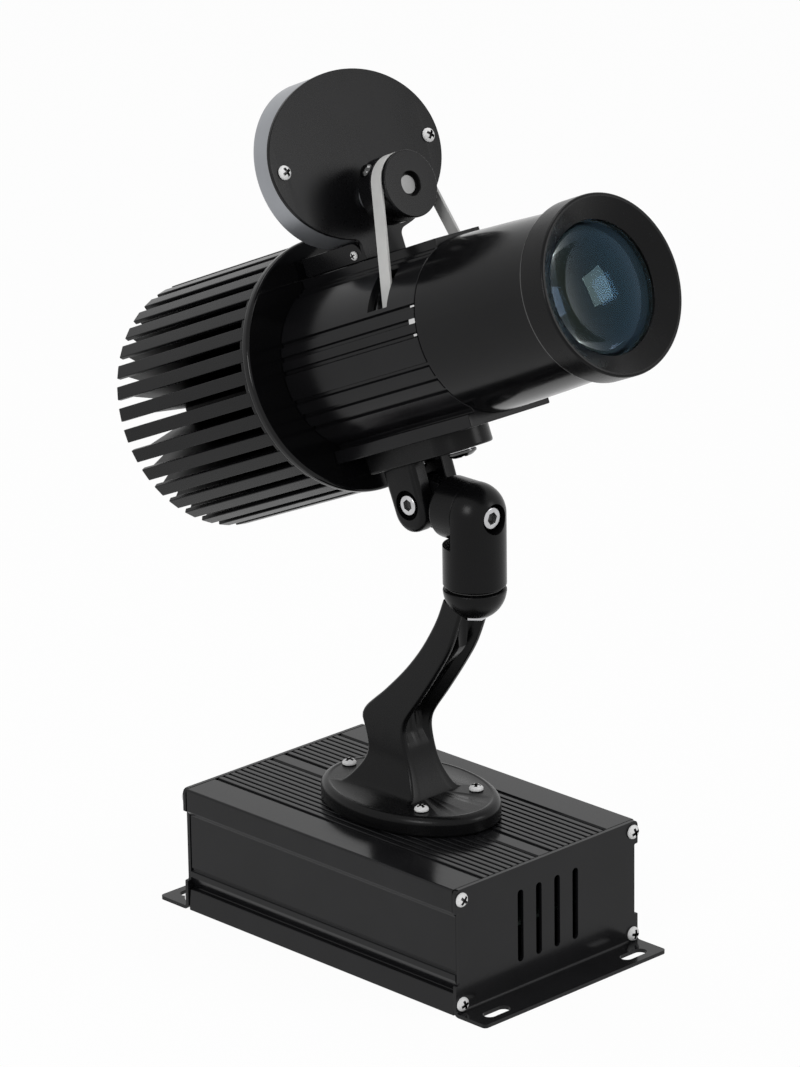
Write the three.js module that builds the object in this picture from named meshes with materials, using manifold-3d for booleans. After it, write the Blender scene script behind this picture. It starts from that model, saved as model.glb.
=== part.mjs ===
// Gobo projector: an LED lamp head with a belt-driven rotating gobo, on a jointed arm over a driver box.
// Millimetres, +Z up. The origin is the middle of the driver box's underside, and the lens looks towards -Y.
import * as THREE from "three";
import { mergeVertices } from "three/addons/utils/BufferGeometryUtils.js";
import Module from "manifold-3d";

const wasm = await Module();
wasm.setup();

// General fits
const SEAT_GAP = 0.3;
const RUNNING_GAP = 0.35;
const OVERRUN = 3;
const WELD = 0.0001;
const EDGE_BREAK = 0.5;
const SOFT_EDGE = 0.75;
const FULL_EDGE = 1.5;

// Driver box: an extruded aluminium housing
const BASE_WIDTH = 96.5;
const BASE_LENGTH = 144;
const BASE_HEIGHT = 50;
const ROOF = 3.2;
const FLOOR = 2.4;
const SIDE_WALL = 2.2;
const SIDE_RECESS = 1.8;
const UPPER_LIP = 9;
const LIP_SLOPE = 2.2;
const LOWER_BAND = 8.6;
const LEDGE_BOTTOM = 13.5;
const LEDGE_TOP = 15.7;
const LEDGE_DEPTH = 1.2;
const CORNER_BLOCK = 8;
const BOARD_GROOVE_Z = 18;
const BOARD_GROOVE_DEPTH = 1.1;
const LID_MARGIN = 14.6;
const LID_CENTRE = 5.4;
const LID_GROOVES = 10;
const LID_GROOVE_WIDTH = 1.2;
const LID_GROOVE_DEPTH = 0.9;

// Driver board and what stands on it
const BOARD_THICKNESS = 1.6;
const BOARD_INSET = 12;
const COIL_SIZE = [30, 26, 17];
const COIL_Y = 26;
const CAPACITOR_RADIUS = 6.5;
const BOARD_HEADROOM = 5.9;
const CAPACITOR_PITCH = 16;
const CAPACITOR_Y = -30;

// Bent end plates with mounting flanges
const PLATE = 1.5;
const PLATE_OVERHANG = 0.2;
const WAIST_DEPTH = 1.75;
const TOP_EAR = 9.4;
const BOTTOM_EAR = 12.2;
const FLANGE_REACH = 14.9;
const BEND_INNER_RADIUS = 1;
const CORNER_RADIUS = 2;
const VENTS = 4;
const VENT_PITCH = 9.7;
const VENT_RISE = 11.85;
const VENT_DROP = 9.45;
const VENT_WIDTH = 3;
const FOOT_SLOT_LENGTH = 12.5;
const FOOT_SLOT_WIDTH = 5.2;
const FOOT_SLOT_INSET = 11.75;
const FOOT_SLOT_REACH = 9;

// Small pan-head screws of the box and of the arm
const SCREW_RADIUS = 1.4;
const SCREW_HEAD_RADIUS = 2.75;
const SCREW_HEAD_HEIGHT = 2;
const SCREW_SHANK = 8;
const END_SCREW_INSET = 2.75;
const END_SCREW_DROP = 4;
const END_SCREW_RISE = 4.6;

// Arm: round foot, curved column and bowl
const ARM_FOOT_RADIUS = 33.3;
const ARM_FOOT_THICKNESS = 7.4;
const ARM_FOOT_Y = 3;
const ARM_FOOT_ROUND = 3;
const ARM_SCREW_CIRCLE = 29;
const ARM_SCREW_DEGREES = [90, -60, -120];
const ARM_WIDTH = 16.5;
const ARM_SIDE_WALL = 3.2;
const ARM_RIB = 2.4;
const ARM_CHANNEL = 3.2;
const ARM_FLARE_WIDTH = 24.6;
const ARM_FLARE_HEIGHT = 15;
// The foot flare's edge, as shares of its reach and of its height
const FLARE_SHARES = [[1, 0], [0.62, 0.14], [0.34, 0.32], [0.12, 0.6], [0, 1]];
const PAN_Y = -37;
const SWIVEL_RADIUS = 11.9;
const BOWL_TOP_Z = 143.4;
const BOWL_DEPTH = 10.9;
const BOWL_FLAT_RADIUS = 6.6;
// The bowl's side, as shares of its radius and of its depth
const BOWL_SHARES = [[0.78, 0.82], [0.92, 0.56], [0.98, 0.3]];
// The column's rear and front edges, as shares of the height from the foot's top to the bowl's top and
// of the reach from the foot's middle to the pan axis.
const COLUMN_REAR_SHARES = [
  [-0.5, -0.01], [-0.405, 0.055], [-0.325, 0.1], [-0.28, 0.16], [-0.27, 0.21], [-0.29, 0.265],
  [-0.325, 0.315], [-0.27, 0.37], [-0.03, 0.47], [0.25, 0.59], [0.475, 0.72], [0.665, 0.86], [0.77, 0.97],
];
const COLUMN_FRONT_SHARES = [
  [0.96, 0.88], [0.85, 0.745], [0.695, 0.625], [0.47, 0.475], [0.25, 0.345], [0.22, 0.29],
  [0.26, 0.18], [0.35, 0.08], [0.47, -0.01],
];

// Pan joint
const PAN_GROOVE = 1.2;
const PAN_WASHER_RADIUS = 10.6;
const PAN_BOLT_RADIUS = 2.9;
const PAN_BOLT_HEAD_RADIUS = 5.2;
const PAN_BOLT_HEAD = 2.8;
const PAN_BOLT_GRIP = 14;

// Elbow, knuckle and tilt joint
const TILT_Y = -13;
const TILT_Z = 175;
const ELBOW_SHOULDER_Z = 161.5;
const ELBOW_FACE_Y = -36.3;
const KNUCKLE_STEP = 0.1;
const KNUCKLE_LENGTH = 11.7;
const TONGUE_THICKNESS = 8;
const TONGUE_RADIUS = 9.2;
const CAP_HEAD_RADIUS = 4.25;
const CAP_HEAD_LENGTH = 4.2;
const CAP_SHANK_RADIUS = 2.4;
const CAP_RECESS_RADIUS = 5.7;
const ROLL_RECESS = 6.6;
const ROLL_GRIP = 6;

// Lamp head pose and lens axis
const TILT_REST_DEGREES = 23;
const LENS_AXIS_UP = 56.4;
const LENS_FRONT = 126.4;

// Fork under the head
const EAR_GAP = 8.6;
const EAR_OUTER = 22;
const EAR_RADIUS = 8.2;
const EAR_DROP = 2.4;
const EAR_REAR = 8.6;
const EAR_FRONT_TOP = 8.6;
const TILT_RECESS = 4;
const TILT_HEAD_LENGTH = 3.2;
const NUT_RADIUS = 4.4;
const NUT_LENGTH = 3.2;
const FOOT_THICKNESS = 7;
const FOOT_WIDTH = 26;
const FOOT_FRONT = 37.2;
const FOOT_REAR = 13.6;
const FOOT_CORNER = 3;
const FOOT_SCREW_FORWARD = 25.4;
const FOOT_SCREW_HEAD_RADIUS = 5.5;
const FOOT_SCREW_HEAD = 2.4;
const FOOT_SCREW_RADIUS = 2;
const FOOT_SCREW_ENTRY = 4;
const INNER_SCREW_HEAD_RADIUS = 3.8;

// Body tube: a ribbed extrusion with a rail below and a pad above
const TUBE_RADIUS = 33;
const TUBE_WALL = 2.7;
const TUBE_LENGTH = 76.5;
const TUBE_FRONT = 56.4;
const RAIL_STAND = 1.8;
const RAIL_HALF_WIDTH = 20.3;
const RAIL_HEIGHT = 5;
const RAIL_NECK = 17;
const RAIL_SHOULDER_DEGREES = -47.5;
const PAD_STAND = 1.2;
const PAD_HALF_WIDTH = 11.4;
const FLUTE_DEPTH = 1.2;
const FLUTE_WIDTH = 2;
const FLUTE_DEGREES = [-36, -25.5, -15, 5, 14, 23.5, 61, 65.5];
const BELT_SLOT_LENGTH = 11;
const BELT_SLOT_FROM_DEGREES = 28;
const BELT_SLOT_TO_DEGREES = 60;

// Rear flange, cage and heat sink
const DISC_LIP = 0.8;
const DISC_THICKNESS = 3.7;
const DISC_ROUND = 1.4;
const CAGE_RADIUS = 47.7;
const CAGE_LENGTH = 76.9;
const CAGE_RING = 2;
const CAGE_RING_DEPTH = 3.7;
const STRIPS = 36;
const STRIP_WIDTH = 5.1;
const STRIP_THICKNESS = 1.8;
const STRIP_TURN_DEGREES = 3;
const SINK_CORE_RADIUS = 16;
const SINK_NOSE_RADIUS = 22;
const FIN_THICKNESS = 1.3;
const FIN_LENGTH = 74.5;

// Lamp module and condenser
const LED_BOARD_INSET = 1.5;
const LED_BOARD = 1.6;
const LED_DOME_RADIUS = 6;
const CONDENSER_FORWARD = -4;
const CONDENSER_LENGTH = 13;
const CONDENSER_WALL = 5;
const CONDENSER_EDGE = 3;
const CONDENSER_SAG = 7;
const CONDENSER_LIP = 2;

// Rotating gobo, its bearing and its belt
const BELT_FORWARD = 35.4;
const BELT_WIDTH = 5.6;
const BELT_THICKNESS = 1.1;
const BELT_SEAT_WIDTH = 6.4;
const ROTOR_RIM_GAP = 2.3;
const ROTOR_FLANGE = 1;
const ROTOR_SEAT_DEPTH = 2.4;
const ROTOR_SPIGOT_STEP = 2.4;
const ROTOR_SPIGOT_LENGTH = 9;
const GOBO_LEDGE = 2.7;
const GOBO_INSET = 4.5;
const GOBO_THICKNESS = 1;
const GOBO_SEAT_DEPTH = 4;
const GOBO_WINDOW = 9;
const GOBO_RING_HEIGHT = 1.5;
const GOBO_RING_WIDTH = 2.3;
const BEARING_LENGTH = 7.5;

// Drive pulley and motor
const PULLEY_UP = 56.2;
const PULLEY_SEAT_RADIUS = 11.2;
const PULLEY_RIM_RADIUS = 12.6;
const PULLEY_FRONT_RIM = 1.9;
const PULLEY_COLLAR = 7;
const PULLEY_RECESS_RADIUS = 4.6;
const PULLEY_RECESS = 2.6;
const SHAFT_RADIUS = 2.5;
const SET_SCREW_RADIUS = 1.5;
const SET_SCREW_DEGREES = 134;
const SET_SCREW_BACK = 3.4;
const SHAFT_OFFSET = 16.5;
const MOTOR_RADIUS = 31.6;
const MOTOR_DEPTH = 19;
const MOTOR_ROUND = 1.2;
const MOTOR_LUG = 1;
const MOTOR_LUG_HALF_WIDTH = 41;
const BUSH_RADIUS = 5;
const BUSH_LENGTH = 4.4;
const MOTOR_SCREW_X = 36.6;
const MOTOR_SCREW_HEAD_RADIUS = 2.7;
const MOTOR_SCREW_ENTRY = 3;

// Motor bracket
const BRACKET_FORWARD = 16.6;
const BRACKET_SHEET = 1.6;
const OVAL_HALF_WIDTH = 42.2;
const OVAL_HALF_HEIGHT = 31.8;
const NECK_HALF_WIDTH = 10.3;
const NECK_FLARE = 17.7;
const NECK_FLARE_UP = 43.5;
const NECK_FLARE_HEIGHT = 4.5;
const CHEEK_HEIGHT = 7.2;
const CHEEK_LENGTH = 33;
const CHEEK_ROUND = 5;
const BLOCK_HEIGHT = 6;
const CHEEK_SCREW_BACK = 4;
const CHEEK_SCREW_UP = 2.6;
const CHEEK_SCREW_HEAD_RADIUS = 1.7;
const CHEEK_SCREW_SHANK_RADIUS = 0.9;
const CHEEK_SCREW_HEAD = 1;
const CHEEK_SCREW_ENTRY = 3;

// Lens barrel, lens cell and focus ring
const BARREL_TAPER = 2.2;
const BARREL_WAIST_TAPER = 1.1;
const BARREL_LENGTH = 57.7;
const BARREL_WAIST_SHARE = 0.52;
const BARREL_NECK_SHARE = 0.8;
const BARREL_SPIGOT = 12;
const BARREL_WALL = 2.35;
const RING_RISE = 0.3;
const RING_LENGTH = 11.6;
const RING_ROUND = 1;
const RING_RIM = 1.5;
const RING_LIP_WIDTH = 3.05;
const RING_CONE_DEPTH = 5.2;
const RING_LIP = 1.2;
const CELL_LENGTH = 46;
const CELL_WALL = 1.7;
const CELL_STOP_WALL = 3.6;
const LENS_EDGE = 3.2;
const FRONT_LENS_SAG = 6.4;
const REAR_LENS_SAG = 3.6;
const FRONT_SEAT_DEPTH = 4;
const REAR_SEAT_DEPTH = 7;
const RETAINER_LENGTH = 3;

// Facet counts
const FINE = 36;
const MEDIUM = 24;
const COARSE = 16;
const SMALL = 10;
const TINY = 8;
const DOME_STEPS = 7;
const ROUND_STEPS = 3;
const EDGE_STEPS = 2;
const TUBE_FACET_DEGREES = 7;

// Finishes
function finish(color, roughness, metalness) {
  return new THREE.MeshStandardMaterial({ color, roughness, metalness, flatShading: true });
}
const ANODISED = finish(0x3a3a3d, 0.42, 0.75);
const BLACK_PLASTIC = finish(0x1c1c1e, 0.28, 0.05);
const BLACK_COAT = finish(0x232326, 0.35, 0.3);
const SILVER_CAN = finish(0xa4a7ab, 0.4, 0.85);
const BRIGHT_STEEL = finish(0xcfd2d4, 0.22, 1);
const GREY_BELT = finish(0xb9babb, 0.6, 0);
const RAW_ALUMINIUM = finish(0xb6b8ba, 0.45, 0.9);
const CIRCUIT_GREEN = finish(0x1f4d33, 0.55, 0);
const COATED_GLASS = new THREE.MeshStandardMaterial({
  color: 0xb9c6dd, roughness: 0.05, metalness: 0, transparent: true, opacity: 0.4, flatShading: true,
});

// Boolean helpers: a geometry becomes a solid, and a solid becomes a flat-shaded geometry again
function solid(geometry) {
  const bare = new THREE.BufferGeometry().setAttribute("position", geometry.getAttribute("position"));
  if (geometry.index) bare.setIndex(geometry.index);
  const merged = mergeVertices(bare, WELD);
  const kept = [];
  const corners = merged.index.array;
  for (let i = 0; i < corners.length; i += 3) {
    const [a, b, c] = [corners[i], corners[i + 1], corners[i + 2]];
    if (a !== b && b !== c && c !== a) kept.push(a, b, c);
  }
  return new wasm.Manifold(new wasm.Mesh({
    numProp: 3,
    vertProperties: merged.getAttribute("position").array,
    triVerts: new Uint32Array(kept),
  }));
}

function geometryOf(body) {
  const shell = body.getMesh();
  const geometry = new THREE.BufferGeometry();
  geometry.setAttribute("position", new THREE.BufferAttribute(new Float32Array(shell.vertProperties), 3));
  geometry.setIndex(new THREE.BufferAttribute(new Uint32Array(shell.triVerts), 1));
  geometry.computeVertexNormals();
  return geometry;
}

function join(...pieces) {
  return geometryOf(pieces.map(solid).reduce((whole, piece) => whole.add(piece)));
}

function cut(body, ...tools) {
  return geometryOf(tools.map(solid).reduce((left, tool) => left.subtract(tool), solid(body)));
}

function common(a, b) {
  return geometryOf(solid(a).intersect(solid(b)));
}

// Shape helpers
function radians(degrees) {
  return THREE.MathUtils.degToRad(degrees);
}

function polygon(points) {
  return new THREE.Shape(points.map(([x, y]) => new THREE.Vector2(x, y)));
}

function arcPoints(x, y, radius, fromDegrees, toDegrees, steps) {
  return Array.from({ length: steps + 1 }, (_, i) => {
    const angle = radians(fromDegrees + ((toDegrees - fromDegrees) * i) / steps);
    return [x + radius * Math.cos(angle), y + radius * Math.sin(angle)];
  });
}

function circle(radius, sides, x = 0, y = 0) {
  return arcPoints(x, y, radius, 0, 360, sides).slice(0, sides);
}

// A slot with round ends, its length along x
function slotPoints(length, width, x = 0, y = 0) {
  const half = (length - width) / 2;
  return [
    ...arcPoints(x + half, y, width / 2, -90, 90, TINY / 2),
    ...arcPoints(x - half, y, width / 2, 90, 270, TINY / 2),
  ];
}

function extrude(points, depth, holes = []) {
  const shape = polygon(points);
  for (const hole of holes) shape.holes.push(new THREE.Path(polygon(hole).getPoints()));
  return new THREE.ExtrudeGeometry(shape, { depth, bevelEnabled: false, curveSegments: SMALL });
}

// A section in x and z, swept towards -Y from y = 0
function sweepForward(points, depth, holes = []) {
  return extrude(points, depth, holes).rotateX(Math.PI / 2);
}

// An outline in y and z, swept along X and centred on x = 0
function sweepAcross(points, width) {
  return extrude(points, width).translate(0, 0, -width / 2).rotateX(Math.PI / 2).rotateZ(Math.PI / 2);
}

// A turned piece about Y from [radius, station] points, its outside facing out whatever their order
function turn(profile, sides) {
  const closed = profile[0][0] === 0 ? profile : [...profile, profile[0]];
  let area = 0;
  for (let i = 0; i < profile.length; i++) {
    const [r0, s0] = profile[i];
    const [r1, s1] = profile[(i + 1) % profile.length];
    area += r0 * s1 - r1 * s0;
  }
  const ordered = area > 0 ? closed : [...closed].reverse();
  return new THREE.LatheGeometry(ordered.map(([r, s]) => new THREE.Vector2(r, s)), sides);
}

function turnUp(profile, sides) {
  return turn(profile, sides).rotateX(Math.PI / 2);
}

// A turned piece whose stations run forward, towards -Y
function turnForward(profile, sides) {
  return turn(profile, sides).rotateX(Math.PI);
}

// A turned piece whose stations run towards +X
function turnAcross(profile, sides) {
  return turn(profile, sides).rotateZ(-Math.PI / 2);
}

function rod(radius, from, to) {
  return [[0, from], [radius, from], [radius, to], [0, to]];
}

function ring(outer, inner, from, to) {
  return [[inner, from], [outer, from], [outer, to], [inner, to]];
}

// A pan-head screw, its head standing on station 0 and its shank below
function panScrew(headRadius, headHeight, shankRadius, shankLength) {
  const edge = headHeight / 2;
  return [
    [0, -shankLength], [shankRadius, -shankLength], [shankRadius, 0], [headRadius, 0],
    [headRadius, edge], [headRadius - edge, headHeight], [0, headHeight],
  ];
}

// A lens from its edge, flat behind and domed in front by its sag
function domedLens(radius, edge, sag, steps) {
  const curve = (radius * radius + sag * sag) / (2 * sag);
  const dome = Array.from({ length: steps + 1 }, (_, i) => {
    const r = (radius * (steps - i)) / steps;
    return [r, edge + Math.sqrt(curve * curve - r * r) - (curve - sag)];
  });
  return [[0, 0], [radius, 0], ...dome];
}

// A block standing on z = 0
function block(width, depth, height) {
  return new THREE.BoxGeometry(width, depth, height).translate(0, 0, height / 2);
}

// A socket with six sides, swept along a station axis when it is turned
function hexRod(radius, from, to) {
  return new THREE.CylinderGeometry(radius, radius, to - from, 6).translate(0, (from + to) / 2, 0);
}

const projector = new THREE.Group();
projector.name = "gobo_projector";

function place(group, name, geometry, material) {
  const mesh = new THREE.Mesh(geometry, material);
  mesh.name = name;
  group.add(mesh);
  return mesh;
}

// The driver housing: one extruded section, open at both ends
const halfWidth = BASE_WIDTH / 2;
const recessX = halfWidth - SIDE_RECESS;
const lipBottom = BASE_HEIGHT - UPPER_LIP;
const grooveField = (BASE_WIDTH - 2 * LID_MARGIN - LID_CENTRE) / 2;
const groovePitch = grooveField / LID_GROOVES;
const lidGrooves = [];
for (let i = 0; i < LID_GROOVES; i++) {
  const x = LID_CENTRE / 2 + groovePitch * (LID_GROOVES - i - 1 / 2);
  lidGrooves.push([x + LID_GROOVE_WIDTH / 2, BASE_HEIGHT]);
  lidGrooves.push([x, BASE_HEIGHT - LID_GROOVE_DEPTH]);
  lidGrooves.push([x - LID_GROOVE_WIDTH / 2, BASE_HEIGHT]);
}
const rightSide = [
  [halfWidth, 0],
  [halfWidth - LEDGE_DEPTH / 2, LOWER_BAND],
  [recessX - LEDGE_DEPTH, LOWER_BAND],
  [recessX + LEDGE_DEPTH / 2, LEDGE_BOTTOM],
  [recessX + LEDGE_DEPTH / 2, LEDGE_TOP],
  [recessX, LEDGE_TOP],
  [recessX, lipBottom - LIP_SLOPE],
  [halfWidth, lipBottom],
  [halfWidth, BASE_HEIGHT],
  ...lidGrooves,
];
const mirrored = (points) => points.map(([x, y]) => [-x, y]).reverse();
const cavityX = recessX - SIDE_WALL;
const cavityTop = BASE_HEIGHT - ROOF;
const boardTop = BOARD_GROOVE_Z + BOARD_THICKNESS + 2 * SEAT_GAP;
const rightCavity = [
  [halfWidth - CORNER_BLOCK, FLOOR],
  [halfWidth - CORNER_BLOCK, LEDGE_BOTTOM],
  [cavityX, LEDGE_TOP],
  [cavityX, BOARD_GROOVE_Z],
  [cavityX + BOARD_GROOVE_DEPTH, BOARD_GROOVE_Z],
  [cavityX + BOARD_GROOVE_DEPTH, boardTop],
  [cavityX, boardTop],
  [cavityX, lipBottom - LIP_SLOPE],
  [halfWidth - CORNER_BLOCK, lipBottom],
  [halfWidth - CORNER_BLOCK, cavityTop],
];
const endScrews = [];
for (const side of [-1, 1]) {
  for (const z of [END_SCREW_RISE, BASE_HEIGHT - END_SCREW_DROP]) {
    endScrews.push([side * (halfWidth - END_SCREW_INSET), z]);
  }
}
const screwHole = SCREW_RADIUS + RUNNING_GAP;
const armScrews = ARM_SCREW_DEGREES.map((degrees) => [
  ARM_SCREW_CIRCLE * Math.cos(radians(degrees)),
  ARM_FOOT_Y + ARM_SCREW_CIRCLE * Math.sin(radians(degrees)),
]);
const armScrewHoles = armScrews.map(([x, y]) =>
  turnUp(rod(screwHole, cavityTop - OVERRUN, BASE_HEIGHT + OVERRUN), TINY).translate(x, y, 0));
const housing = sweepForward(
  [...rightSide, ...mirrored(rightSide)],
  BASE_LENGTH,
  [[...rightCavity, ...mirrored(rightCavity)], ...endScrews.map(([x, z]) => circle(screwHole, TINY, x, z))],
).translate(0, BASE_LENGTH / 2, 0);
place(projector, "base_housing", cut(housing, ...armScrewHoles), ANODISED);

// The driver board, slid into the housing's side grooves
const boardWidth = 2 * (cavityX + BOARD_GROOVE_DEPTH - SEAT_GAP);
const boardDeck = BOARD_GROOVE_Z + SEAT_GAP + BOARD_THICKNESS;
const boardLength = BASE_LENGTH - 2 * BOARD_INSET;
const capacitorHeight = cavityTop - BOARD_HEADROOM - boardDeck;
const [coilWidth, coilDepth, coilHeight] = COIL_SIZE;
place(projector, "driver_board", join(
  block(boardWidth, boardLength, BOARD_THICKNESS).translate(0, 0, BOARD_GROOVE_Z + SEAT_GAP),
  block(coilWidth, coilDepth, coilHeight).translate(0, COIL_Y, boardDeck),
  ...[-CAPACITOR_PITCH, 0, CAPACITOR_PITCH].map((x) =>
    turnUp(rod(CAPACITOR_RADIUS, 0, capacitorHeight), SMALL).translate(x, CAPACITOR_Y, boardDeck)),
), CIRCUIT_GREEN);

// The end plates: a bent sheet with vents above and two slotted holes in its flange
const plateX = halfWidth + PLATE_OVERHANG;
const waistX = plateX - WAIST_DEPTH;
const bendOuter = BEND_INNER_RADIUS + PLATE;
const sheetSection = [
  ...arcPoints(-bendOuter, bendOuter, bendOuter, -90, 0, 4),
  [0, BASE_HEIGHT],
  [-PLATE, BASE_HEIGHT],
  ...arcPoints(-bendOuter, bendOuter, BEND_INNER_RADIUS, 0, -90, 4),
  [-FLANGE_REACH - PLATE, PLATE],
  [-FLANGE_REACH - PLATE, 0],
];
const ventTop = BASE_HEIGHT - VENT_DROP;
const ventHoles = Array.from({ length: VENTS }, (_, i) => {
  const x = VENT_PITCH * (i - (VENTS - 1) / 2);
  return slotPoints(ventTop - VENT_RISE, VENT_WIDTH)
    .map(([along, across]) => [x - across, (ventTop + VENT_RISE) / 2 + along]);
});
const rightPlateEdge = [
  [plateX, 0],
  [plateX, BOTTOM_EAR],
  [waistX, BOTTOM_EAR],
  [waistX, BASE_HEIGHT - TOP_EAR],
  [plateX, BASE_HEIGHT - TOP_EAR],
  ...arcPoints(plateX - CORNER_RADIUS, BASE_HEIGHT - CORNER_RADIUS, CORNER_RADIUS, 0, 90, ROUND_STEPS),
];
const plateOutline = [...rightPlateEdge, ...mirrored(rightPlateEdge)];
const plateDepth = FLANGE_REACH + PLATE;
const mountSlots = [-1, 1].map((side) =>
  extrude(slotPoints(FOOT_SLOT_LENGTH, FOOT_SLOT_WIDTH), PLATE + 2 * OVERRUN)
    .translate(side * (halfWidth - FOOT_SLOT_INSET), -PLATE - FOOT_SLOT_REACH, -OVERRUN));
const endPlate = cut(
  common(
    sweepAcross(sheetSection, 2 * plateX),
    sweepForward(plateOutline, plateDepth + 2 * OVERRUN,
      [...ventHoles, ...endScrews.map(([x, z]) => circle(screwHole, TINY, x, z))]).translate(0, OVERRUN, 0),
  ),
  ...mountSlots,
);
const plateY = BASE_LENGTH / 2 + SEAT_GAP;
for (const [end, turnBack] of [["front", 0], ["rear", Math.PI]]) {
  const assembly = new THREE.Group();
  assembly.rotation.z = turnBack;
  projector.add(assembly);
  const plate = place(assembly, "end_plate_" + end, endPlate.clone(), ANODISED);
  plate.position.y = -plateY;
  endScrews.forEach(([x, z], i) => {
    const screw = turnForward(panScrew(SCREW_HEAD_RADIUS, SCREW_HEAD_HEIGHT, SCREW_RADIUS, SCREW_SHANK), TINY);
    const mesh = place(assembly, "plate_screw_" + end + "_" + (i + 1), screw, BRIGHT_STEEL);
    mesh.position.set(x, -plateY - PLATE - SEAT_GAP, z);
  });
}

// The arm: a turned foot, a channelled column with side flares, and a bowl for the pan joint
const footBottom = BASE_HEIGHT + SEAT_GAP;
const footTop = footBottom + ARM_FOOT_THICKNESS;
const footDisc = turnUp([
  [0, footBottom],
  ...arcPoints(ARM_FOOT_RADIUS - FULL_EDGE, footBottom + FULL_EDGE, FULL_EDGE, -90, 0, EDGE_STEPS),
  ...arcPoints(ARM_FOOT_RADIUS - ARM_FOOT_ROUND, footTop - ARM_FOOT_ROUND, ARM_FOOT_ROUND, 0, 90, ROUND_STEPS),
  [0, footTop],
], FINE).translate(0, ARM_FOOT_Y, 0);
const columnRise = BOWL_TOP_Z - footTop;
const columnReach = ARM_FOOT_Y - PAN_Y;
const columnPoint = ([reachShare, riseShare]) => [
  ARM_FOOT_Y - reachShare * columnReach,
  footTop + riseShare * columnRise,
];
const rearEdge = COLUMN_REAR_SHARES.map(columnPoint);
const frontEdge = COLUMN_FRONT_SHARES.map(columnPoint);
const columnOutline = [...rearEdge, ...frontEdge].reverse();
const webOutline = [...rearEdge, ...frontEdge.map(([y, z]) => [y + ARM_CHANNEL, z])].reverse();
const wallOffset = (ARM_WIDTH - ARM_SIDE_WALL) / 2;
const flareReach = (ARM_FLARE_WIDTH - ARM_WIDTH) / 2;
const flareEdge = [
  [ARM_FLARE_WIDTH / 2, footTop - FULL_EDGE],
  ...FLARE_SHARES.map(([reachShare, riseShare]) => [
    ARM_WIDTH / 2 + reachShare * flareReach,
    footTop + riseShare * ARM_FLARE_HEIGHT,
  ]),
];
const flareSection = [...flareEdge, ...mirrored(flareEdge)];
const flares = common(
  sweepForward(flareSection, 2 * ARM_FOOT_RADIUS).translate(0, ARM_FOOT_RADIUS + ARM_FOOT_Y, 0),
  sweepAcross(columnOutline, ARM_FLARE_WIDTH),
);
const bowl = turnUp([
  [0, BOWL_TOP_Z - BOWL_DEPTH],
  [BOWL_FLAT_RADIUS, BOWL_TOP_Z - BOWL_DEPTH],
  ...BOWL_SHARES.map(([radiusShare, dropShare]) => [
    radiusShare * SWIVEL_RADIUS,
    BOWL_TOP_Z - dropShare * BOWL_DEPTH,
  ]),
  [SWIVEL_RADIUS, BOWL_TOP_Z],
  [0, BOWL_TOP_Z],
], MEDIUM).translate(0, PAN_Y, 0);
const panHole = PAN_BOLT_RADIUS + RUNNING_GAP;
const bowlBottom = BOWL_TOP_Z - BOWL_DEPTH;
const headPocket = PAN_BOLT_HEAD_RADIUS + 2 * RUNNING_GAP;
place(projector, "arm", cut(
  join(
    footDisc,
    sweepAcross(webOutline, ARM_WIDTH - ARM_SIDE_WALL),
    sweepAcross(columnOutline, ARM_SIDE_WALL).translate(wallOffset, 0, 0),
    sweepAcross(columnOutline, ARM_SIDE_WALL).translate(-wallOffset, 0, 0),
    sweepAcross(columnOutline, ARM_RIB),
    flares,
    bowl,
  ),
  turnUp(rod(panHole, bowlBottom - OVERRUN, BOWL_TOP_Z + OVERRUN), SMALL).translate(0, PAN_Y, 0),
  turnUp(rod(headPocket, bowlBottom - PAN_BOLT_HEAD - OVERRUN, bowlBottom), COARSE).translate(0, PAN_Y, 0),
  turnUp(rod(SWIVEL_RADIUS + OVERRUN, BOWL_TOP_Z, BOWL_TOP_Z + BOWL_DEPTH), MEDIUM).translate(0, PAN_Y, 0),
  ...armScrews.map(([x, y]) =>
    turnUp(rod(screwHole, footBottom - OVERRUN, footTop + OVERRUN), TINY).translate(x, y, 0)),
), BLACK_PLASTIC);
armScrews.forEach(([x, y], i) => {
  const reach = ARM_FOOT_THICKNESS + ROOF;
  const screw = turnUp(panScrew(SCREW_HEAD_RADIUS, SCREW_HEAD_HEIGHT, SCREW_RADIUS, reach), TINY);
  place(projector, "arm_screw_" + (i + 1), screw, BRIGHT_STEEL).position.set(x, y, footTop + SEAT_GAP);
});

// The pan joint: a friction washer in the groove and a bolt from below
const elbowBottom = BOWL_TOP_Z + PAN_GROOVE;
place(projector, "pan_washer",
  turnUp(ring(PAN_WASHER_RADIUS, panHole, BOWL_TOP_Z + SEAT_GAP, elbowBottom - SEAT_GAP), COARSE)
    .translate(0, PAN_Y, 0), BLACK_PLASTIC);
const panHeadTop = bowlBottom - SEAT_GAP;
place(projector, "pan_bolt", join(
  hexRod(PAN_BOLT_HEAD_RADIUS, panHeadTop - PAN_BOLT_HEAD, panHeadTop).rotateX(Math.PI / 2),
  turnUp(rod(PAN_BOLT_RADIUS, panHeadTop - PAN_BOLT_HEAD / 2, elbowBottom + PAN_BOLT_GRIP), SMALL),
).translate(0, PAN_Y, 0), BRIGHT_STEEL);

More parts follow.
